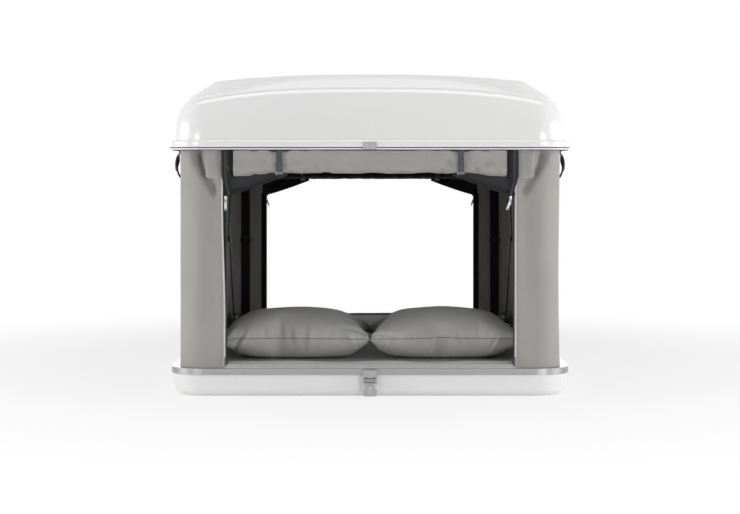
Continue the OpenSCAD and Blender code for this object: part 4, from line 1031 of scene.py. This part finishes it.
def make_zip_drops():
    """Closed zip that lies over each roll's end and curves in over the corner panel to its slider."""
    across = np.linspace(-1, 1, 7)[None, :]
    for rear, end, sx, side in CORNERS:
        name = f"{end}_zip_drop_{side}"
        z = np.linspace(LID_Z - 0.0025, roll_low(rear) - GUSSET_DROP, 40)
        t = smooth((roll_low(rear) + 0.016 - z) / (GUSSET_DROP + 0.016))
        mid = 0.4557 + 0.0018 * np.sin(np.pi * t) - 0.0095 * t ** 1.5
        half = 0.0120 - 0.0042 * t
        y = ROLL_Y + (roll_size(rear)[0] + 0.0012) * (1 - t) + 0.0165 * t
        p = xyz(mid[:, None] + half[:, None] * across, -(y[:, None] - 0.0015 * across ** 2), z[:, None])
        tape = thick_sheet(name, turned(p, sx < 0, rear), 0.0014, "zip_tape", flip=(sx < 0) == rear)
        dress(tape, fold_up)
        rows = [end_row(mid + half * to, -y - 0.0002, z, rear, sx) for to in (-0.16, 0.16)]
        teeth = dress(sewn(name + "_teeth", rows, "zip_black", **TOOTH), fold_up)


make_hems()
make_gussets()
make_panel_zips()
make_pulls()
make_zip_drops()


# Webbing: side loops, rear tension straps and their ladder locks

TENSION_X, TENSION_W, TENSION_TAIL_W = 0.534, 0.036, 0.034
TAIL_Y = (0.9888, 0.9868, 0.9862, 0.9866, 0.9872, 0.9870)
TAIL_Z = (0.412, 0.404, 0.385, 0.360, 0.335, 0.312)
LOOP_W, UNDER_IN, UNDER_OUT = 0.025, 0.907, 0.928


def make_side_loops():
    """Webbing loop under each end of the lid's sides, twisted and slumped against the wall."""
    a = np.linspace(0, 2 * math.pi, 60)[:, None]
    swell = 0.5 - 0.5 * np.cos(a)
    x = -0.6117 - 0.0135 * swell ** 0.7 * (0.8 + 0.2 * np.sin(2 * a))
    z = 0.7335 + 0.0385 * np.cos(a / 2) - 0.002 * np.sin(a)
    y = 0.9175 + 0.004 * np.sin(a)
    twist = 1.2 * np.sin(a / 2) ** 2 + 0.25 * np.sin(a)
    t = np.linspace(-LOOP_W / 2, LOOP_W / 2, 7)[None, :]
    gx = x - np.abs(t) * 0.10 * swell + t * 0.60 * np.sin(twist)
    grid = xyz(np.clip(gx, -0.6285, -0.6106), -(y + t * np.cos(twist)), z)
    fold = np.linspace(0, 1, 40)
    hang = np.column_stack([-0.6120 - 0.0125 * np.sin(np.pi * fold) ** 0.8, 0.774 - 0.083 * fold])
    inner = xyz(hang[:, :1], -np.linspace(UNDER_IN, UNDER_OUT, 5), hang[:, 1:])
    for sx, side in SIDES:
        for rear, end in ENDS:
            name, right = f"side_loop_{end}_{side}", sx > 0
            band = thick_sheet(name, turned(grid, right, rear), 0.0019, "black_webbing", flip=right == rear)
            under = thick_sheet(name + "_under", turned(inner, right, rear), 0.0018, "black_webbing",
                                flip=right == rear)
            patch = box("patch", (-0.6136, -0.936, 0.7690), (-0.6104, -0.899, 0.7915),
                        "black_webbing", 0.0006)
            anchor = moved(patch, name + "_anchor", right, rear)
            dress(band, fold_up, "side_loops")
            for piece in (under, anchor):
                dress(piece, fold_up)


def make_tension_straps():
    """Strap from the floor to the lid frame inside each rear pillar, its loose tail and its ladder lock."""
    for sx, side in SIDES:
        at = sx * TENSION_X
        z = np.linspace(FLOOR_Z + SEAT_GAP, WALL_TOP, 90)
        bow = 0.9957 - 0.0006 * np.sin((z - 0.09) * 26) - 0.0015 * bell(z, 0.41, 0.05)
        grid = strap_grid(np.column_stack([bow, z]), TENSION_W, at)
        band = thick_sheet(f"tension_strap_{side}", grid, 0.0018, "black_webbing", flip=True)
        dress(band, fold_strap, "tension_straps")
        t = np.linspace(0, 5, 26)
        loose = np.column_stack([np.interp(t, range(6), TAIL_Y), np.interp(t, range(6), TAIL_Z)])
        flap = strap_grid(loose, TENSION_TAIL_W, at)
        tail = thick_sheet(f"tension_tail_{side}", flap, 0.0017, "black_webbing")
        dress(tail, fold_strap)
        y0, y1, z0 = 0.9896, 0.9930, 0.4060
        spans = [("cheek", a, b, y0 - 0.001, y1 + 0.003, z0, z0 + 0.026, 0.0007)
                 for a, b in ((-0.0213, -0.0183), (0.0183, 0.0213))]
        spans += [("bar", -0.019, 0.019, y0, y1, z0 + low, z0 + low + 0.004, 0.0008)
                  for low in (0.0, 0.011, 0.022)]
        spans.append(("tab", -0.019, 0.019, y0 - 0.006, y0 + 0.001, z0 + 0.0225, z0 + 0.0255, 0.0008))
        bits = [box(bit, (at + a, ya, za), (at + b, yb, zb), "buckle_plastic", bevel)
                for bit, a, b, ya, yb, za, zb, bevel in spans]
        dress(merge(f"ladder_lock_{side}", bits), fold_strap, "ladder_locks")


def make_jamb_zips():
    """Half of each door's zip, sewn along the jambs below the arches."""
    low, tuck, y = 0.1015, 0.4612, -1.0062
    for rear, end, sx, side in CORNERS:
        name = f"jamb_zip_{end}_{side}"
        inner, top = (0.443, 0.6170) if rear else (0.4535, 0.6400)
        lean = 0.0 if rear or sx > 0 else LEAN
        outer, head = 0.4665 + lean, PIPING_TOP if lean else top
        share, z = np.meshgrid(np.linspace(0, 1, 6), np.linspace(low, head, 80))
        near = inner + (tuck - inner) * smooth((z - top + 0.004) / 0.008)
        p = turned(xyz(near + (outer - near) * share, y, z), sx < 0, rear)
        tape = dress(thick_sheet(name, p, 0.0014, "zip_tape", flip=(sx < 0) != rear), fold_down)
        zs = np.linspace(0.103, top, 120)
        within, facing = end_row(inner + 0.0022, y + 0.0015, zs, rear, sx)
        rows = [end_row(inner + 0.0022, y, zs, rear, sx), (within, -facing)]
        teeth = dress(sewn(name + "_teeth", rows, "zip_black", **TOOTH), fold_down)
        clip = box("clip", (0.4552, -1.0145, 0.0945), (0.4618, -1.0105, 0.1230), "zip_black", 0.0008)
        dress(moved(clip, name + "_stop", sx < 0, rear), fold_down)


make_side_loops()
make_tension_straps()
make_jamb_zips()


# Bedding

MATTRESS = [(0.0105, 0.0003), (0.004, 0.004), (0.0015, 0.010), (0.0004, 0.020), (0.0, 0.030), (0.0006, 0.042),
            (0.0020, 0.053), (0.0045, 0.060), (0.0085, 0.0655), (0.0150, 0.0685)]
QUILT_X, QUILT_Y = 0.183, 0.165
PILLOW_W, PILLOW_D, PILLOW_RISE = 0.560, 0.485, 0.010
SETTLE_FRAMES, SETTLE_PRESSURE = 36, 10
SEAM_AT = 0.44    # height of a pillow's seam, as a share of its own height


def make_mattress():
    """Foam pad in a sewn cover: bulging band, two piped edges and a crowned top with shallow quilting."""
    rings = []
    for inset, z in MATTRESS:
        p = rounded(BED_X - inset, BED_Y - inset, 0.065 - inset / 2, n=10, side=36)
        wave = 0.0007 * ripple(p[:, 0] * 16, p[:, 1] * 16, z * 60, seed=81)
        rings.append(xyz(*(p * (1 - wave[:, None])).T, BED_Z + z))
    edge = rings[-1]
    for f in np.linspace(0.97, 0.0, 26)[:-1]:
        x, y = (edge[:, :2] * f).T
        lines = np.maximum(np.abs(np.cos(y / QUILT_Y * math.pi)), np.abs(np.cos(x / QUILT_X * math.pi)))
        groove = 0.0016 * np.exp(-((1 - lines) / 0.018) ** 2)
        z = BED_TOP - 0.0003 - 0.0035 * f ** 8 - groove - 0.0005 * (1 + ripple(x * 20, y * 20, seed=82))
        rings.append(xyz(x, y, z))
    n, last = len(edge), (len(rings) - 1) * len(edge)
    faces = grid_faces(len(rings), n, wrap=True)
    verts = np.concatenate(rings + [[[0, 0, BED_TOP - 0.001], [0, 0, BED_Z + 0.0003]]])
    for j in range(n):
        k = (j + 1) % n
        faces += [[last + j, last + k, len(verts) - 2], [k, j, len(verts) - 1]]
    uvs = verts[:, :2] + verts[:, 2:3]
    pad = build("mattress_pad", verts, faces, [M["mattress_cover"]], uvs=uvs, sharp=70)
    dress(pad, press_bed, "mattress")
    for inset, z, tag in ((0.0052, BED_Z + 0.0615, "top"), (0.0032, BED_Z + 0.0045, "low")):
        p = rounded(BED_X - inset, BED_Y - inset, 0.063, n=14, side=40)
        cord = tube(f"mattress_piping_{tag}", xyz(*np.concatenate([p, p[:1]]).T, z), 0.0021, "piping")
        dress(cord, press_bed)


def make_sill_flaps():
    """Loose hem of wall cloth that lies over the mattress's edge behind each sill, in the lighter copy of the
    wall cloth: painted light.
    """
    for rear, end in ENDS:
        x = np.linspace(-0.452, 0.452, 150)
        t = np.linspace(0, 1, 8)[:, None]
        seed = 86 if rear else 84
        edge = 0.0015 * ripple(x * 26, seed=seed, low=0.6, high=1.8) + 0.0025 * ripple(x * 7, seed=seed + 1)
        p = xyz(x, -0.9972 + (0.020 + 0.5 * edge) * t, 0.1006 + (0.0062 + edge) * np.sin(t * 1.9))
        flap = thick_sheet(f"sill_flap_{end}", turned(p, False, rear), 0.0012, "pale_fabric", flip=rear)
        dress(flap, fold_down)


def points_of(mesh, what="co"):
    values = np.empty(len(mesh.vertices) * 3)
    mesh.vertices.foreach_get(what, values)
    return values.reshape(-1, 3)


def set_points(mesh, co):
    mesh.vertices.foreach_set("co", co.ravel())
    mesh.update()


def apply_modifiers(obj):
    """Keeps what an object's modifiers make as its mesh."""
    made = bpy.data.meshes.new_from_object(obj.evaluated_get(bpy.context.evaluated_depsgraph_get()))
    obj.modifiers.clear()
    obj.data = made


def settle(obj):
    """Runs Blender's cloth on a closed case under pressure, then keeps the result as the mesh."""
    cloth = obj.modifiers.new("cloth", "CLOTH")
    s = cloth.settings
    s.quality = 6
    s.mass = 0.1
    s.tension_stiffness = s.compression_stiffness = 15
    s.shear_stiffness = 7.5
    s.bending_stiffness = 0.12
    s.tension_damping = s.compression_damping = s.shear_damping = 8
    s.air_damping = 2
    s.use_pressure = True
    s.uniform_pressure_force = SETTLE_PRESSURE
    s.effector_weights.gravity = 0
    cloth.collision_settings.use_self_collision = False
    cloth.point_cache.frame_start, cloth.point_cache.frame_end = 1, SETTLE_FRAMES
    scene = bpy.context.scene
    for f in range(1, SETTLE_FRAMES + 1):
        scene.frame_set(f)
    apply_modifiers(obj)
    scene.frame_set(1)


def gathers(co, lo, hi, seam_z, seed):
    """How far short creases that run across a pillow's seam lift and sink its cover."""
    r = np.random.default_rng(seed)
    up = co[:, 2] - seam_z
    total = np.zeros(len(co))
    for axis, other in ((0, 1), (1, 0)):
        for end in (-1, 1):
            far = end * (2 * co[:, other] - lo[other] - hi[other]) / (hi[other] - lo[other])
            rim = smooth((far - 0.5) / 0.35)
            for k in range(9):
                at = lo[axis] + (hi[axis] - lo[axis]) * (k + r.uniform(0.15, 0.85)) / 9
                off = co[:, axis] - at - r.uniform(-0.7, 0.7) * up
                wide, depth = r.uniform(0.005, 0.010), r.uniform(0.003, 0.0075)
                fold = bell(off, 0, wide) - 0.6 * bell(off, 1.9 * wide, 1.2 * wide)
                total -= depth * rim * bell(up, r.uniform(-0.02, 0.025), r.uniform(0.014, 0.04)) * fold
    return total


def pillow_case(name, seed):
    """Flat case with its corners a little rounded, its seam's vertices and each vertex's neighbours."""
    uu, vv = np.meshgrid(np.linspace(-1, 1, 62), np.linspace(-1, 1, 54))
    pin = 1 - 0.035 * uu ** 2 * vv ** 2
    x, y, rise = uu * PILLOW_W / 2 * pin, vv * PILLOW_D / 2 * pin, PILLOW_RISE * (1 - uu ** 4) * (1 - vv ** 4)
    nv, nu = x.shape
    bumps = 0.0022 * ripple(x * 14, y * 14, seed=seed) * (rise / PILLOW_RISE)
    top, under = xyz(x, y, rise + bumps), xyz(x, y, -rise + bumps * 0.6)[1:-1, 1:-1]
    verts = np.concatenate([top.reshape(-1, 3), under.reshape(-1, 3)])
    index = np.arange(nv * nu).reshape(nv, nu)
    index[1:-1, 1:-1] = np.arange(nv * nu, len(verts)).reshape(nv - 2, nu - 2)
    faces = grid_faces(nv, nu)
    for i in range(nv - 1):
        for j in range(nu - 1):
            faces.append([index[i, j], index[i + 1, j], index[i + 1, j + 1], index[i, j + 1]])
    near = [set() for _ in verts]
    for f in faces:
        for k in range(4):
            near[f[k]].update((f[k - 1], f[(k + 1) % 4]))
    case = build(name, verts, faces, [M["pillow_cover"]], sharp=180)
    return case, edge_ring(nv, nu), [np.fromiter(n, int) for n in near]


def fit_pillow(co, lo, hi, sx):
    """A blown up case sized and turned to lie in the CAD pillow's box, its underside flat on the mattress."""
    lo_now, hi_now = co.min(axis=0), co.max(axis=0)
    for k, share in ((0, 1.010), (1, 0.990)):
        middle, span = (lo_now[k] + hi_now[k]) / 2, hi_now[k] - lo_now[k]
        co[:, k] = (co[:, k] - middle) * share * (hi[k] - lo[k]) / span
    turn = math.radians(1.0 * sx)
    co[:, :2] = co[:, :2] @ np.array([[math.cos(turn), math.sin(turn)], [-math.sin(turn), math.cos(turn)]])
    co[:, :2] += np.array([(lo[0] + hi[0]) / 2 - 0.004 * sx, (lo[1] + hi[1]) / 2])
    bottom, height = lo[2] + 0.0004, hi[2] - lo[2] + 0.003
    seam_z = bottom + SEAM_AT * height
    upper = seam_z + 0.56 * height * co[:, 2] / hi_now[2]
    lower = seam_z - SEAM_AT * 1.55 * height * co[:, 2] / lo_now[2]
    soft = 0.010
    sunk = bottom + soft * np.log1p(np.exp(np.clip((lower - bottom) / soft, -30, 30)))
    co[:, 2] = np.where(co[:, 2] >= 0, upper, sunk)
    return co, seam_z


def make_pillow(sx, side, seed):
    """Stuffed pillow: blown up as cloth, then laid on the mattress in the CAD pillow's space."""
    node = f"pillow_{side}"
    lo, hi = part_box(node)
    case, seam_ids, near = pillow_case(f"pillow_case_{side}", seed)
    settle(case)
    co = points_of(case.data)
    for _ in range(16):
        co = 0.5 * co + 0.5 * np.array([co[n].mean(axis=0) for n in near])
    co, seam_z = fit_pillow(co, lo, hi, sx)
    set_points(case.data, co)
    sub = case.modifiers.new("fine", "SUBSURF")
    sub.levels = sub.render_levels = 1
    apply_modifiers(case)
    fine = case.data
    co, normal = points_of(fine), points_of(fine, "normal")
    co += normal * gathers(co, lo, hi, seam_z, seed)[:, None]
    set_points(fine, co)
    fine.polygons.foreach_set("use_smooth", np.ones(len(fine.polygons), bool))
    dress(case, on_base, node)
    seam = tube(f"pillow_seam_{side}", co[seam_ids + seam_ids[:1]], 0.0013, "seam_grey", sides=6)
    dress(seam, on_base)


make_mattress()
make_sill_flaps()
make_pillow(-1, "left", 91)
make_pillow(1, "right", 95)


# Stage, camera and light

FLOOR_HALF, FLOOR_DROP = 30, -0.0005
# The photo's camera: its width, focal length and horizon above the middle in pixels, its sensor in mm
PHOTO_W, FOCAL_PX, HORIZON_PX, SENSOR = 740, 1791, 85, 36
CAMERA_AT = (0, -6.69, 0.71)


def seen_direct(tree):
    """1 for rays that show the backdrop itself, to the camera, in a reflection or through glass."""
    path = add_node(tree, "ShaderNodeLightPath").outputs
    total = path["Is Camera Ray"]
    for kind in ("Is Glossy Ray", "Is Transmission Ray"):
        links = {0: total, 1: path[kind]}
        total = add_node(tree, "ShaderNodeMath", links=links, operation="MAXIMUM").outputs[0]
    return total


def stage_material(name):
    """White to the camera, more so away from the tent, and still a surface that takes its shadow."""
    m = bpy.data.materials.new(name)
    m.use_nodes = True
    t = m.node_tree
    t.nodes.clear()
    diffuse = add_node(t, "ShaderNodeBsdfDiffuse", {"Color": (0.94, 0.94, 0.94, 1)})
    glow = add_node(t, "ShaderNodeEmission", {"Strength": 1.0})
    place = add_node(t, "ShaderNodeNewGeometry")
    reach = add_node(t, "ShaderNodeVectorMath", None, {0: place.outputs["Position"]}, operation="LENGTH")
    far = add_node(t, "ShaderNodeMapRange", {"From Min": 0.9, "From Max": 2.6, "To Min": 0.72, "To Max": 1.0},
                   {"Value": reach.outputs["Value"]}, interpolation_type="SMOOTHSTEP")
    share = add_node(t, "ShaderNodeMath", None, {0: seen_direct(t), 1: far.outputs["Result"]},
                     operation="MULTIPLY")
    mix = add_node(t, "ShaderNodeMixShader", None,
                   {0: share.outputs[0], 1: diffuse.outputs[0], 2: glow.outputs[0]})
    add_node(t, "ShaderNodeOutputMaterial", None, {"Surface": mix.outputs[0]})
    return m


def make_world():
    world = bpy.data.worlds.new("studio")
    bpy.context.scene.world = world
    world.use_nodes = True
    sky = world.node_tree
    back = sky.nodes["Background"]
    back.inputs["Color"].default_value = (1, 1, 1, 1)
    level = add_node(sky, "ShaderNodeMapRange", {"To Min": 0.20, "To Max": 1.0}, {"Value": seen_direct(sky)})
    sky.links.new(level.outputs["Result"], back.inputs["Strength"])


def softbox(name, place, target, size, power):
    light = bpy.data.lights.new(name, "AREA")
    light.shape, light.size, light.size_y, light.energy = "RECTANGLE", size[0], size[1], power
    obj = link(name, light)
    obj.location = place
    obj.rotation_euler = (Vector(target) - Vector(place)).to_track_quat("-Z", "Y").to_euler()


def make_camera():
    data = bpy.data.cameras.new("camera")
    data.sensor_width = SENSOR
    data.lens = SENSOR * FOCAL_PX / PHOTO_W
    data.shift_y = -HORIZON_PX / PHOTO_W
    camera = link("camera", data)
    camera.location = CAMERA_AT
    camera.rotation_euler = (math.radians(90), 0, 0)
    bpy.context.scene.camera = camera
    bpy.context.scene.view_settings.view_transform = "Standard"


floor = [(x * FLOOR_HALF, y * FLOOR_HALF, FLOOR_DROP) for x, y in SQUARE]
build("floor", floor, [(0, 1, 2, 3)], [stage_material("floor_white")])
make_world()
softbox("left", (-3.9, -1.7, 1.0), (0, -0.6, 0.5), (2.2, 2.4), 76)
softbox("right", (3.9, -1.7, 1.0), (0, -0.6, 0.5), (2.2, 2.4), 76)
softbox("front_left", (-3.2, -6.2, 0.95), (0, -0.6, 0.45), (1.6, 1.8), 46)
softbox("front_right", (3.2, -6.2, 0.95), (0, -0.6, 0.45), (1.6, 1.8), 78)
softbox("top", (0, -0.95, 3.3), (0, -0.95, 0.8), (3.4, 0.95), 28)
softbox("rear_low", (0, 5.8, 0.75), (0, 0.3, 0.5), (4.0, 1.1), 36)
softbox("rear_left", (-4.0, 3.3, 0.85), (0, 0.3, 0.5), (2.4, 1.5), 30)
softbox("rear_right", (4.0, 3.3, 0.85), (0, 0.3, 0.5), (2.4, 1.5), 30)
make_camera()

bpy.context.view_layer.update()
